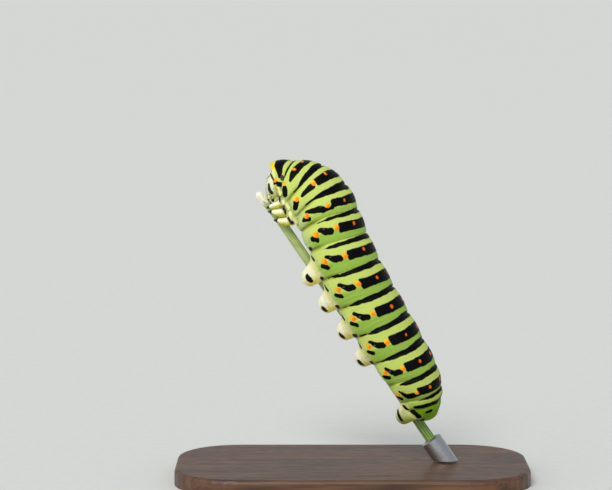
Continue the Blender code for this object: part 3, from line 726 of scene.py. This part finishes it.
def proleg_skin(root, foot, roll, size, side):
    """One proleg: its points, and each point's height from 0 at the root to 1 at the sole."""
    place = np.linspace(0, len(PROLEG_FORM) - 1, PROLEG_ROWS)
    up, out, half_length, half_thick = spline(PROLEG_FORM, place).T
    share = (up[0] - up) / (up[0] - up[-1])
    for at, spread, rise in PROLEG_RINGS:
        ring = rise * bell(share, at, spread)
        half_length, half_thick = half_length + ring, half_thick + ring
    slant = np.arctan2(np.gradient(out), -np.gradient(up))[:, None]
    share, up, out, half_length, half_thick = (v[:, None] for v in (share, up, out, half_length, half_thick))
    turn = full_turn(PROLEG_COLUMNS)[None, :]
    across = half_thick * size * np.sin(turn)
    along = root + (foot - root) * share + half_length * size * np.cos(turn)
    high = up * size + across * np.sin(slant)
    wide = (out * size + across * np.cos(slant)) * side
    points = clear_of_stem(stem_points(along, high, wide, *limb_axes(roll)))
    return SimpleNamespace(points=points, height=share + 0 * turn, turn=turn + 0 * along)


def head_frame():
    """The head's middle and its left, forward and up directions."""
    centre, tail, dorsal, left = (v[0] for v in body_frames(np.zeros(1))[:4])
    pitch = math.radians(HEAD_PITCH)
    middle = centre - HEAD_CENTRE[0] * tail + HEAD_CENTRE[1] * dorsal
    forward = -math.cos(pitch) * tail + math.sin(pitch) * dorsal
    up = math.cos(pitch) * dorsal + math.sin(pitch) * tail
    return middle, np.array((left, forward, up))


def ball_places(rows, columns, opening):
    """A grid of places on the unit sphere (left, forward, up)."""
    turn = np.radians(np.linspace(opening, 180 - opening, rows))[:, None]
    round_it = full_turn(columns)[None, :]
    return np.sin(turn) * np.sin(round_it), np.sin(turn) * np.cos(round_it), np.cos(turn) + 0 * round_it


def head_points(x, y, z, relief=0.0):
    """Points of the head from places on the unit sphere."""
    middle, axes = head_frame()
    above, below = np.maximum(0.0, z), np.maximum(0.0, -z)
    cleft = 1 - HEAD_CLEFT * bell(x, 0, 0.16) * np.maximum(0.0, 0.35 + z)
    cheek = 1 + CHEEK_SWELL * bell(np.abs(x), 0.7, 0.3) * np.maximum(0.0, 1 - np.abs(z - 0.2))
    wide = HEAD_HALF[0] * (1 - HEAD_TAPER * below ** 1.6) * cheek
    deep = HEAD_HALF[1] * cleft * cheek * (1 + BROW_FILL * above ** 2 + MOUTH_FILL * below ** 1.5)
    half = np.stack((wide, deep, HEAD_HALF[2] * cleft), -1)
    return middle + ((half + np.asarray(relief)[..., None]) * np.stack((x, y, z), -1)) @ axes


def head_spot(x, z):
    """The point on the front of the head at a place to the left and up."""
    return head_points(x, math.sqrt(max(0.0, 1 - x * x - z * z)), z)


def head_seams(x, y, z):
    """Depth of the seams: the one over the crown, which forks round the triangle over the mouth."""
    apex, foot, spread = FRONS
    wide, _, tall = HEAD_HALF
    across, drop = np.abs(x) * wide, (z - apex) * tall
    step = np.array((spread * wide, (foot - apex) * tall))
    share = np.clip((across * step[0] + drop * step[1]) / (step @ step), 0, 1)
    fork = np.hypot(across - share * step[0], drop - share * step[1])
    crown = np.hypot(across, np.minimum(0, drop))
    base = np.hypot(np.maximum(0, across - step[0]), drop - step[1])
    lines = (crown, fork, fork - INNER_LINE, base)
    over, *front = (depth * bell(line, 0, half) for line, (depth, half) in zip(lines, SEAMS))
    return over * (1 - smooth_step(-y, -0.1, 0.5)) + (y > 0) * sum(front)


def head_skin():
    """The head capsule with its seams and eyes, and the distance in mm to its black marks."""
    x, y, z = ball_places(*HEAD_GRID)
    plain = head_points(x, y, z)

    def spot_distance(left, up, radius):
        return np.linalg.norm(plain - head_spot(left, up), axis=-1) - radius

    eyes = np.minimum.reduce([spot_distance(side * left, up, 0.0) for left, up in EYES for side, _ in SIDES])
    dome = EYE_RISE * np.sqrt(np.clip(1 - (eyes / EYE_RADIUS) ** 2, 0, 1)) - 0.02 * bell(eyes, 0.11, 0.03)
    black = [eyes - EYE_RADIUS, spot_distance(*BROW_SPOT)]
    for side, _ in SIDES:
        for (ax, az, ar), (bx, bz, br) in HEAD_STRIPES:
            black.append(segment_distance(plain, head_spot(side * ax, az), head_spot(side * bx, bz), ar, br))
        for start, end in zip(REAR_STRIPE, REAR_STRIPE[1:]):
            ends = (head_points(side * left, forward, up) for left, forward, up, _ in (start, end))
            black.append(segment_distance(plain, *ends, start[3], end[3]))
    return head_points(x, y, z, dome - head_seams(x, y, z)), np.minimum.reduce(black)


def tube(path, radii, columns=40, side=TOWARD):
    """Points of a tube along a path, with the turn of each; radii may be a grid."""
    path, radii = np.asarray(path, dtype=float), np.asarray(radii, dtype=float)
    tangent = unit(np.gradient(path, axis=0))
    across = unit(np.cross(tangent, side))
    facing = np.cross(across, tangent)
    turn = full_turn(columns)[None, :]
    reach = radii if radii.ndim == 2 else radii[:, None]
    points = path[:, None] + (reach * np.cos(turn))[..., None] * across[:, None] \
        + (reach * np.sin(turn))[..., None] * facing[:, None]
    return points, turn + 0 * reach


def leg_skin(form, side):
    """One walking leg: its points, and each one's place along it, from 0 at the root to 4, and turn."""
    place = np.linspace(0, len(form) - 1, LEG_ROWS)
    along, up, out, radius = spline(form, place).T
    for joint, depth, spread in LEG_JOINTS:
        radius = radius - depth * bell(place, joint, spread) + 0.5 * depth * bell(place, joint - 0.16, 0.09)
    start, end, drop = CLAW_STEP
    tip = np.sqrt(np.clip((4.06 - place) / 0.25, 0.02, 1))
    radius = radius * (1 - drop * smooth_step(place, start, end)) * tip
    lift, left = limb_axes(LEG_ROLL)
    points, turn = tube(stem_points(along, up, out * side, lift, left), radius, side=left * side)
    return points, place[:, None] + 0 * turn, turn


def stem_skin():
    """The stem with its ribs and the bud of five folded petals at its upper end, and its attributes."""
    table = np.array(STEM_PATH)
    start, end = table[0, 0], table[-1, 0]
    bud_part = np.linspace(start, BUD_END[1], BUD_ROWS)[:-1]
    length = np.append(bud_part, np.linspace(BUD_END[1], end, STEM_ROWS))
    _, out, radius = spline(table, np.interp(length, table[:, 0], np.arange(len(table)))).T
    path = stem_points(length, out, 0.0)
    length, turn = length[:, None], full_turn(STEM_COLUMNS)[None, :]
    bud = 1 - smooth_step(length, *BUD_END)
    closing = np.sqrt(np.clip((length - start) / 0.5, 0.01, 1))
    groove = bud * bell(np.sin(2.5 * (turn + 0.3 * (length - start))), 0, 0.24)
    ribs = RIB_HEIGHT * np.cos(STEM_RIBS * turn) * (1 - bud)
    points, turn = tube(path, radius[:, None] * (1 + ribs - PETAL_GROOVE * groove) * closing, STEM_COLUMNS)
    return points, {
        "length": length, "turn": turn, "groove": groove, "rib": np.cos(STEM_RIBS * turn) * 0.5 + 0.5,
        "bud": 1 - smooth_step(length + 0.3 * np.cos(5 * turn), *BUD_END),
    }


# Materials. Every node goes into the node tree of its inputs.


def fill(node, inputs):
    """Set a node's inputs; an input that is a socket is linked."""
    for key, value in inputs.items():
        if isinstance(value, bpy.types.NodeSocket):
            node.id_data.links.new(value, node.inputs[key])
        else:
            node.inputs[key].default_value = value


def put(kind, inputs, **settings):
    """The outputs of a new node with these inputs and settings."""
    tree = next(v.id_data for v in inputs.values() if isinstance(v, bpy.types.NodeSocket))
    node = tree.nodes.new(kind)
    for key, value in settings.items():
        setattr(node, key, value)
    fill(node, inputs)
    return node.outputs


def add(first, second):
    return put("ShaderNodeMath", {0: first, 1: second}, operation="ADD")[0]


def times(first, second):
    return put("ShaderNodeMath", {0: first, 1: second}, operation="MULTIPLY")[0]


def centred(value, reach):
    """A noise moved to lie round zero, times its reach."""
    return times(put("ShaderNodeMath", {0: value, 1: 0.5}, operation="SUBTRACT")[0], reach)


def blend(factor, first, second):
    return put("ShaderNodeMix", {0: factor, 6: first, 7: second}, data_type="RGBA")[2]


def layered(colour, *layers):
    """A colour with others laid over it, each by its own share."""
    for share, over in layers:
        colour = blend(share, colour, over)
    return colour


def ramp(value, low, high, start=0.0, end=1.0):
    inputs = {0: value, 1: low, 2: high, 3: start, 4: end}
    return put("ShaderNodeMapRange", inputs, interpolation_type="SMOOTHSTEP")[0]


def mask(distance, waver, edge):
    """1 inside a mark and 0 outside, going over within the edge's width on each side of its uneven line."""
    return ramp(add(distance, waver), edge, -edge)


def noise(vector, scale, detail=2.0, roughness=0.5):
    return put("ShaderNodeTexNoise", {"Vector": vector, "Scale": scale, "Detail": detail,
                                      "Roughness": roughness})["Fac"]


def stretched(vector, scale, rotation=(0.0, 0.0, 0.0)):
    return put("ShaderNodeMapping", {"Vector": vector, "Scale": scale, "Rotation": rotation})[0]


def soft(weight, radius, scale):
    """The shader's inputs for light that passes a little way into the skin."""
    return {"Subsurface Weight": weight, "Subsurface Radius": radius, "Subsurface Scale": scale}


def make_material(name, look, *more):
    """A material from a look, which gives the shader's inputs and its bumps: height, strength, distance.

    The look is handed a function that reads an attribute, the place on the object, and more.
    """
    made = bpy.data.materials.new(name)
    made.use_nodes = True
    nodes = made.node_tree.nodes

    def read(attribute):
        node = nodes.new("ShaderNodeAttribute")
        node.attribute_name = attribute
        return node.outputs["Fac"]

    inputs, *bumps = look(read, nodes.new("ShaderNodeTexCoord").outputs["Object"], *more)
    for height, strength, distance in bumps:
        bump = {"Height": height, "Strength": strength, "Distance": distance}
        if "Normal" in inputs:
            bump["Normal"] = inputs["Normal"]
        inputs["Normal"] = put("ShaderNodeBump", bump)[0]
    fill(nodes["Principled BSDF"], inputs)
    return made


def linear(red, green, blue):
    """A colour given in the photo's 0 to 255 values, as the shader takes it."""
    parts = []
    for value in (red, green, blue):
        value = value / 255
        parts.append(value / 12.92 if value <= 0.04045 else ((value + 0.055) / 1.055) ** 2.4)
    return (*parts, 1.0)


LIGHT_GREEN = linear(214, 230, 116)
MID_GREEN = linear(158, 197, 74)
DARKER_GREEN = linear(116, 140, 60)
PALE_VEIN = linear(228, 238, 158)
TAIL_GREEN = linear(124, 165, 26)
BELLY_GREEN = linear(206, 222, 150)
FLECK = linear(236, 244, 170)
CREAM = linear(254, 251, 222)
WARM_CREAM = linear(240, 228, 112)
BLACK = linear(5, 5, 9)
ORANGE = linear(255, 140, 4)
DEEP_ORANGE = linear(236, 108, 8)
YELLOW = linear(255, 222, 60)
# dark olive: painted shade in the creases, and the olive tone on the rear of the anal prolegs
OLIVE = linear(118, 122, 16)
COLLAR_YELLOW = linear(250, 222, 18)


def skin_look(read, place):
    """Larval skin: green zones, cream, black and orange marks with soft uneven edges, painted olive shade in
    the creases, fine wrinkles.
    """
    rings = put("ShaderNodeCombineXYZ", {0: read("length"), 1: read("round")})[0]
    streak = noise(stretched(rings, (2.6, 0.5, 1.0)), 1.6, 3.0, 0.6)
    vein = noise(stretched(rings, (7.0, 1.1, 1.0)), 1.3, 4.0, 0.65)
    wrinkle = noise(stretched(rings, (5.0, 0.9, 1.0)), 1.5, 4.0, 0.65)
    grain = noise(place, 14000.0)
    waver = add(centred(noise(place, 3200.0), 0.16), centred(noise(place, 800.0, 1.0), 0.30))
    black = mask(read("black"), waver, 0.05)
    warm = layered(ORANGE, (read("tint"), YELLOW), (read("deep"), DEEP_ORANGE))
    colour = layered(
        LIGHT_GREEN,
        (ramp(add(read("zone"), centred(streak, 1.0)), 0.15, 0.85), MID_GREEN),
        (times(read("belly"), 0.8), BELLY_GREEN),
        (ramp(vein, 0.50, 0.72, 0.0, 0.34), MID_GREEN),
        (ramp(vein, 0.46, 0.28, 0.0, 0.40), PALE_VEIN),
        (read("darkening"), DARKER_GREEN),
        (read("tail"), TAIL_GREEN),
        (ramp(grain, 0.55, 0.80, 0.0, 0.28), FLECK),
        (ramp(add(read("pale"), times(waver, 1.2)), 0.05, 0.95),
         blend(read("warm"), CREAM, WARM_CREAM)),
        # dark olive over the folds and round the leg lobes: painted crease shade
        (times(read("olive_and_crease_shade"), 0.75), OLIVE),
        (ramp(add(read("collar"), waver), 0.18, -0.10), COLLAR_YELLOW),
        (black, BLACK),
        (mask(read("orange"), waver, 0.06), warm),
    )
    return {"Base Color": colour, "Roughness": ramp(black, 0.0, 1.0, 0.48, 0.40), "Specular IOR Level": 0.07,
            **soft(0.18, (0.7, 1.0, 0.25), 0.0006)}, (wrinkle, 0.45, 0.00010), (grain, 0.35, 0.00003)


def mottled(_, place, light, dark, roughness, scale):
    """Two tones of one colour mixed by fine noise, with a matching bump."""
    mottle = noise(place, scale, 3.0)
    colour = blend(ramp(mottle, 0.35, 0.65), light, dark)
    return {"Base Color": colour, "Roughness": roughness}, (mottle, 0.25, 0.00004)


def spiracle_look(read, place):
    """Brownish grey rim round a nearly black slit."""
    grain = noise(place, 9000.0)
    rim = blend(ramp(grain, 0.35, 0.7), linear(82, 72, 70), linear(48, 42, 44))
    inner = blend(ramp(read("slit"), 0.10, 0.22), linear(12, 10, 10), linear(76, 66, 70))
    colour = blend(ramp(read("rim"), 0.52, 0.70), inner, rim)
    return {"Base Color": colour, "Roughness": 0.38}, (grain, 0.4, 0.00003)


def head_look(read, place):
    """Smooth pale head capsule with black stripes, a little browner towards the mouth."""
    edge, pits = noise(place, 5200.0), noise(place, 17000.0)
    colour = layered(
        linear(236, 240, 208),
        (ramp(edge, 0.35, 0.7), linear(218, 226, 172)),
        (ramp(read("up"), 0.1, -0.9), linear(216, 222, 128)),
        (read("rust"), linear(190, 112, 48)),
        (mask(read("black"), centred(edge, 0.10), 0.045), BLACK),
    )
    return {"Base Color": colour, "Roughness": 0.32, "Specular IOR Level": 0.4,
            **soft(0.12, (0.8, 1.0, 0.4), 0.0004)}, (pits, 0.4, 0.00003)


def leg_look(read, place):
    """Leg skin that is whitish above, olive yellow below and black at the claw and the root."""
    mottle = noise(place, 4200.0, 3.0)
    upper = add(read("upper"), centred(mottle, 0.9))
    colour = layered(
        linear(200, 196, 34),
        (ramp(upper, -0.35, 0.45), linear(247, 243, 214)),
        (mask(read("black"), centred(mottle, 0.10), 0.05), linear(14, 13, 18)),
    )
    return {"Base Color": colour, "Roughness": 0.36, "Specular IOR Level": 0.4,
            **soft(0.15, (1.0, 0.9, 0.3), 0.0004)}, (mottle, 0.3, 0.00004)


def stem_look(read, place):
    """Ribbed green stem with pale ribs, olive towards the cream bud at its upper end, with painted shade in
    the bud's grooves.
    """
    length = read("length")
    along = put("ShaderNodeCombineXYZ", {0: times(length, 0.35), 1: times(read("turn"), 9.0)})[0]
    streak, blotch = noise(along, 1.7, 4.0, 0.6), noise(place, 900.0, 3.0)
    fibres = ramp(streak, 0.35, 0.7)
    petal = layered(
        linear(255, 254, 240),
        (ramp(blotch, 0.4, 0.7), linear(250, 240, 216)),
        # painted shade: a darker tan in the grooves between the bud's petals
        (times(read("groove"), 0.8), linear(206, 196, 132)),
    )
    colour = layered(
        blend(fibres, linear(142, 166, 78), linear(194, 210, 142)),
        (ramp(length, 3.0, 12.0), blend(fibres, linear(74, 130, 10), linear(114, 162, 40))),
        (ramp(read("rib"), 0.35, 1.0, 0.0, 0.55), linear(206, 214, 170)),
        (ramp(blotch, 0.55, 0.8, 0.0, 0.35), linear(96, 120, 40)),
        (read("bud"), petal),
    )
    return {"Base Color": colour, "Roughness": 0.5, "Specular IOR Level": 0.35}, (streak, 0.4, 0.00005)


def wood_look(_, place):
    """Dark oiled wood with long grain and fine pores."""
    figure = noise(stretched(place, (60.0, 520.0, 520.0)), 1.0, 5.0, 0.55)
    lines = noise(stretched(place, (110.0, 3600.0, 3600.0)), 1.0, 3.0, 0.6)
    pores = noise(stretched(place, (500.0, 9000.0, 9000.0)), 1.0)
    colour = layered(
        linear(70, 44, 29),
        (ramp(figure, 0.3, 0.7), linear(112, 76, 50)),
        (ramp(lines, 0.48, 0.62, 0.0, 0.45), linear(52, 33, 22)),
        (ramp(pores, 0.62, 0.75, 0.0, 0.6), linear(40, 25, 17)),
    )
    return {"Base Color": colour, "Roughness": ramp(pores, 0.3, 0.8, 0.34, 0.55)}, (pores, 0.3, 0.00003)


def steel_look(_, place):
    """Steel brushed along the rod."""
    slope = (0.0, math.radians(STEM_SLOPE), 0.0)
    lines = noise(stretched(place, (400.0, 22000.0, 22000.0), slope), 1.0, 3.0)
    colour = blend(lines, linear(150, 152, 156), linear(210, 211, 214))
    roughness = ramp(lines, 0.2, 0.8, 0.24, 0.42)
    return {"Base Color": colour, "Roughness": roughness, "Metallic": 1.0}, (lines, 0.25, 0.00002)


# The pieces


def add_piece(ob, material, slot, *nodes):
    ob.data.materials.append(material)
    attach(ob, "root")
    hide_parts(*nodes)


def add_grid(name, points, values, *rest):
    add_piece(grid_object(name, points, values), *rest)


def body_values(skin, near_leg, spots):
    """The attributes of the body's skin: its marks, and how far it is green, cream, olive with painted
    crease shade, and so on.
    """
    black, orange, tint, deep = body_marks(skin)
    black = np.minimum.reduce([black] + [segment_distance(skin.points, *spot) for spot in spots])
    v, degrees, lobe = skin.v, skin.degrees, skin.lobe
    share, fold = v - np.floor(v), np.round(v)
    zone = between(share, 0.42, 0.70, 0.95, 1.02) * smooth_step(v, 3.2, 4.2)
    flank = between(degrees, 88, 104, 112, 124) * smooth_step(v, 3.0, 3.5) * smooth_step(share, 0.3, 0.7)
    # painted crease shade: dark olive along the folds, low on the sides
    olive_and_crease_shade = bell(skin.to_fold, 0, 0.30) * smooth_step(degrees, 84, 100) * (fold > 1.5) * (fold < 12.5)
    collar_edge = (1 - smooth_step(v, 0.0, 0.12)) * smooth_step(degrees, 20, 50)
    pale = (0.85 * near_leg ** 1.3, 0.6 * collar_edge, 0.92 * smooth_step(-lobe, -0.04, 0.20))
    return {
        "black": black, "orange": orange, "tint": tint, "deep": deep, "warm": 0.6,
        "zone": np.maximum(zone, 0.8 * flank), "pale": np.maximum.reduce(pale),
        # painted crease shade also round the edges of the lobes over the legs
        "olive_and_crease_shade": np.maximum(olive_and_crease_shade * (lobe > 0.3), 0.8 * bell(lobe, 0.14, 0.12)),
        "tail": smooth_step(v, 10.7, 12.1) * (1 - 0.7 * smooth_step(degrees, 80, 115)),
        "belly": smooth_step(degrees, 100, 126), "collar": bar_distance(skin, *COLLAR)[0],
        # a little darker green everywhere, and more towards the tail
        "length": skin.length, "round": skin.round, "darkening": 0.13 + 0.21 * smooth_step(v, 3.5, 11.0),
    }


def proleg_values(foot, anal, spots):
    """The same attributes for a proleg, or for one of the anal pair."""
    height, turn, cosine = foot.height, foot.turn, np.cos(foot.turn)
    level, middle, spread = foot.plate[0], *np.radians(foot.plate[1:])
    tall = PROLEG_FORM[0][0] - PROLEG_FORM[-1][0]
    plate = np.hypot((height - level) * tall / PLATE_HALF, (turn - middle) / spread) - 1
    black = [plate * PLATE_HALF] + [segment_distance(foot.points, *spot) for spot in spots]
    # painted crease shade: darker olive in the folds round each proleg
    crease_shade = sum(0.16 * bell(height, at, width) for at, width, rise in PROLEG_RINGS if rise < 0)
    rear = smooth_step(cosine, -0.6, 0.4) * smooth_step(height, 0.0, 0.4)
    pale = 0.38 + 0.32 * smooth_step(-cosine, 0.1, 0.9) if anal \
        else np.maximum(0.85, smooth_step(height, 0.1, 0.5))
    warm = (smooth_step(cosine, -0.2, 0.75), 0.55 * smooth_step(height, 0.5, 1.0), 0.7 * foot.near)
    return {
        "black": np.minimum.reduce(black), "orange": 1.0, "tint": 0.0, "deep": 0.0, "zone": 0.0,
        "olive_and_crease_shade": 0.30 * anal * rear + crease_shade, "tail": 0.5 * anal, "belly": 1 - 0.5 * anal, "pale": pale,
        "warm": np.maximum.reduce(warm), "collar": 1.0, "darkening": 0.15, "length": height * 4.0,
        "round": turn * 1.2,
    }


def make_body():
    """Make the body's skin and the prolegs, which run together in soft hollows, and give both."""
    skin = body_skin()
    prolegs = {}
    for name, root, foot, roll, size, plate in PROLEGS:
        for side, word in SIDES:
            made = proleg_skin(root, foot, roll, size, side)
            made.plate = plate
            prolegs[f"{name}_{word}"] = made
    points, near_leg = fillet(skin.points, [foot.points for foot in prolegs.values()], BODY_FILLET)
    for foot in prolegs.values():
        foot.points, foot.near = fillet(foot.points, [skin.points], FOOT_FILLET)
    skin.points = points
    spots = foot_spots(skin)
    finish = make_material("larva_skin", skin_look)
    add_grid("skin_body", points, body_values(skin, near_leg, spots), finish, "skin", *BODY_NODES)
    for name, foot in prolegs.items():
        values = proleg_values(foot, name.startswith("anal"), spots)
        add_grid("skin_" + name, foot.points, values, finish, "proleg", name)
    return skin, prolegs


def make_spiracles(skin):
    """The breathing holes, as small raised ovals with a dark slit, along each side."""
    finish = make_material("spiracle", spiracle_look)
    down, normals = np.gradient(skin.points, axis=0), normals_of(skin.points)
    turn = full_turn(SPIRACLE_COLUMNS)[:, None]
    size, high = np.array(SPIRACLE_RINGS).T[..., None, None]
    for side, word in SIDES:
        pieces = []
        for place, angle, tall in SPIRACLES:
            at = nearest_cell(skin, place, side * angle)
            normal, along = normals[at], unit(down[at])
            across = np.cross(normal, along)
            oval = np.cos(turn) * tall * across + np.sin(turn) * SPIRACLE_WIDTH * tall * along
            rows = skin.points[at] + (SPIRACLE_LIFT * tall + high) * normal + size * oval
            slit = np.abs((rows - skin.points[at]) @ along) / tall
            pieces.append(grid_object("spiracle", rows, {"rim": size[..., 0], "slit": slit}, cap_end=False))
        bpy.ops.object.select_all(action="DESELECT")
        for ob in pieces:
            ob.select_set(True)
        bpy.context.view_layer.objects.active = pieces[0]
        bpy.ops.object.join()
        pieces[0].name = "spiracles_" + word
        add_piece(pieces[0], finish, "skin")


def make_strands(name, strands, slot, *tones):
    """One mesh of thin tapering strands, each with a start, a middle, an end and the radius of its root."""
    rows, faces = [], []
    share = np.linspace(0, 1, STRAND_ROWS)[:, None]
    for start, middle, end, radius in strands:
        path = (1 - share) ** 2 * start + 2 * share * (1 - share) * middle + share ** 2 * end
        aim = unit(end - start)
        side = np.cross(aim, ALONG if abs(aim @ ALONG) < 0.8 else OUT)
        points, _ = tube(path, radius * (1.05 - share[:, 0]), STRAND_SIDES, side)
        faces += ring_faces(STRAND_ROWS, STRAND_SIDES, len(rows) * STRAND_ROWS * STRAND_SIDES)
        rows.append(points.reshape(-1, 3))
    add_piece(mesh_object(name, np.vstack(rows), faces), make_material(*tones), slot)


def limb_cell(height, turn, wanted, degrees):
    """Row and column of a limb's grid at a height or place on it and a turn round it."""
    return np.abs(height[:, 0] - wanted).argmin(), np.abs(turn[0] - math.radians(degrees)).argmin()


def make_hooks(prolegs):
    """The row of small brown hooks along the inner edge of each sole, bent in to the stem."""
    strands = []
    for foot in prolegs.values():
        normals = normals_of(foot.points)
        for k in range(HOOKS):
            height, length = HOOK_ROWS[k % 2]
            turn = HOOK_TURNS[0] + HOOK_TURNS[1] * k / (HOOKS - 1)
            cell = limb_cell(foot.height, foot.turn, height, turn)
            root, normal = foot.points[cell], normals[cell]
            inward = unit(MARK + ((root - MARK) @ ALONG) * ALONG - root)
            end = root + length * (0.55 * normal + 0.75 * inward)
            strands.append((root - 0.04 * normal, root + length * 0.75 * normal, end, HOOK_RADIUS))
    make_strands("hooks", strands, "proleg",
                 "hook_brown", mottled, linear(132, 84, 34), linear(84, 50, 20), 0.35, 6000.0)


def make_bristles(skin, prolegs):
    """Sparse short hairs on the head, the prolegs, low on the sides and round the tail."""
    draw = random.Random(7)
    roots = []  # place, direction out of the skin, direction that the hair leans to, length
    middle, axes = head_frame()
    for k in range(HEAD_HAIRS):
        z = 0.85 - 1.6 * (k + 0.5) / HEAD_HAIRS
        x = math.sqrt(1 - z * z) * math.sin(2.4 * k)
        if abs(x) < 0.93:
            spot = head_spot(x, z)
            roots.append((spot, unit(spot - middle), -axes[2], draw.uniform(0.20, 0.36)))
    for foot in prolegs.values():
        normals = normals_of(foot.points)
        for k in range(FOOT_HAIRS):
            turn = 10 + 160 * k / (FOOT_HAIRS - 1)
            cell = limb_cell(foot.height, foot.turn, draw.uniform(0.35, 0.85), turn)
            roots.append((foot.points[cell], normals[cell], -OUT, draw.uniform(0.22, 0.38)))
    normals = normals_of(skin.points)
    spots = [(draw.uniform(fold + 0.2, fold + 0.8), draw.uniform(108, 150)) for fold in range(1, 11)
             for _ in range(SIDE_HAIRS)]
    spots += [(draw.uniform(12.9, 13.3), draw.uniform(10, 120)) for _ in range(TAIL_HAIRS)]
    for place, angle in spots:
        for side, _ in SIDES:
            cell = nearest_cell(skin, place, side * angle)
            roots.append((skin.points[cell], normals[cell], ALONG, draw.uniform(0.18, 0.34)))
    strands = []
    for root, normal, lean, length in roots:
        end = root + length * (0.88 * normal + 0.4 * lean)
        strands.append((root - 0.03 * normal, root + 0.55 * length * normal, end, HAIR_RADIUS))
    make_strands("bristles", strands, "skin",
                 "bristle", mottled, linear(176, 168, 130), linear(96, 84, 60), 0.4, 9000.0)


def head_offset(axes, side, out, forward, up):
    return side * out * axes[0] + forward * axes[1] + up * axes[2]


def make_head():
    finish = make_material("head_capsule", head_look)
    points, black = head_skin()
    middle, axes = head_frame()
    up = (points - middle) @ axes[2] / HEAD_HALF[2]
    add_grid("head_capsule", points, {"black": black, "up": up, "rust": 0.0}, finish, "head", "head")
    mouth = middle - axes[2] * (HEAD_HALF[2] - MOUTH_DEPTH)
    for name, part in MIDDLE_PARTS.items():
        make_mouth_part(name, mouth, axes, 1, finish, *part)
    for side, word in SIDES:
        for name, part in SIDE_PARTS.items():
            make_mouth_part(f"{name}_{word}", mouth, axes, side, finish, *part)
        make_antenna("antenna_" + word, mouth, axes, side, finish)


def make_mouth_part(name, mouth, axes, side, finish, place, half, rust, tip):
    """A rounded mouth part, black below its tip line or, where it is rusty, at its back."""
    x, y, z = ball_places(*MOUTH_GRID)
    if name == "labrum":
        depth, spread = LABRUM_NOTCH
        z = z + depth * bell(x, 0, spread) * (z < 0) * -z
    rows = np.stack((x * half[0], y * half[1], z * half[2]), -1)
    black = rows[..., 1] - JAW_EDGE if rust else rows[..., 2] + tip * half[2]
    points = mouth + head_offset(axes, side, *place) + rows @ axes
    add_grid(name, points, {"black": black, "up": -0.5, "rust": rust}, finish, "head")


def make_antenna(name, mouth, axes, side, finish):
    """A short feeler of three joints, each narrower than the one before."""
    share = np.linspace(-0.25, 1.0, 60)
    root, reach = (head_offset(axes, side, *place) for place in (ANTENNA_ROOT, ANTENNA_REACH))
    radius = ANTENNA_RADIUS * np.interp(share, *zip(*ANTENNA_FORM))
    points, _ = tube(mouth + root + share[:, None] * reach, radius, side=axes[0])
    black = (ANTENNA_TIP - share[:, None]) * 0.6
    add_grid(name, points, {"black": black, "up": -0.6, "rust": 0.0}, finish, "head", name)


def make_legs():
    finish = make_material("leg_skin", leg_look)
    for number, form, bar in zip((1, 2, 3), LEGS, LEG_BARS):
        for side, word in SIDES:
            points, place, turn = leg_skin(form, side)
            upper = unit(points - points.mean(axis=1, keepdims=True), SMALL) @ -ALONG
            ends = (points[limb_cell(place, turn, *spot)] for spot in bar)
            black = np.minimum((CLAW_BLACK - place) * 0.6, segment_distance(points, *ends, *LEG_BAR_HALVES))
            name = f"leg_{number}_{word}"
            add_grid("skin_" + name, points, {"upper": upper, "black": black}, finish, "leg", name)


def make_stem():
    add_grid("flower_stem", *stem_skin(), make_material("stem_green", stem_look), "stem", "stem")


def dress_stand():
    looks = (("stand_rod", "brushed_steel", steel_look), ("stand_base", "dark_wood", wood_look))
    for node, name, look in looks:
        materials = bpy.data.objects[node].data.materials
        materials.clear()
        materials.append(make_material(name, look))


def make_stage():
    """Pale floor, soft lights and the camera at the photo's angle."""
    bpy.ops.mesh.primitive_circle_add(vertices=96, radius=FLOOR_RADIUS, fill_type="NGON", location=(0, 0, 0))
    floor = bpy.context.object
    floor.name = "floor"
    tones = linear(232, 233, 229), linear(230, 231, 227)
    floor.data.materials.append(make_material("pale_floor", mottled, *tones, 0.9, 700.0))
    world = bpy.data.worlds.new("studio")
    world.use_nodes = True
    sky = world.node_tree.nodes.new("ShaderNodeTexCoord").outputs["Generated"]
    height = put("ShaderNodeSeparateXYZ", {0: sky})[2]
    fill(world.node_tree.nodes["Background"], {"Color": blend(ramp(height, 0.0, 0.45), SKY_EDGE, SKY_TOP)})
    scene = bpy.context.scene
    scene.world = world
    for name, power, spread, source, colour in SUNS:
        sun = bpy.data.lights.new(name, "SUN")
        sun.energy, sun.angle, sun.color = power, math.radians(spread), colour
        add_object(name, sun).rotation_euler = (-Vector(source)).to_track_quat("-Z", "Y").to_euler()

    right, down = (PIXEL * (PICTURE_CENTRE[k] - MARK_PIXEL[k]) for k in (0, 1))
    look = MARK + right * np.array((1.0, 0, 0)) - down * UPWARD
    camera = bpy.data.cameras.new("camera")
    camera.sensor_width = SENSOR
    camera.lens = SENSOR * CAMERA_DISTANCE / (PICTURE_WIDTH * PIXEL)
    camera.clip_start = 0.01
    ob = add_object("camera", camera)
    ob.location = Vector(look + CAMERA_DISTANCE * TOWARD) * MM
    ob.rotation_euler = (Vector(-TOWARD)).to_track_quat("-Z", "Y").to_euler()
    scene.camera = ob
    scene.view_settings.view_transform = "Standard"


def main():
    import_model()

    skin, prolegs = make_body()
    make_spiracles(skin)
    make_hooks(prolegs)
    make_bristles(skin, prolegs)
    make_head()
    make_legs()
    make_stem()
    dress_stand()
    make_stage()


main()
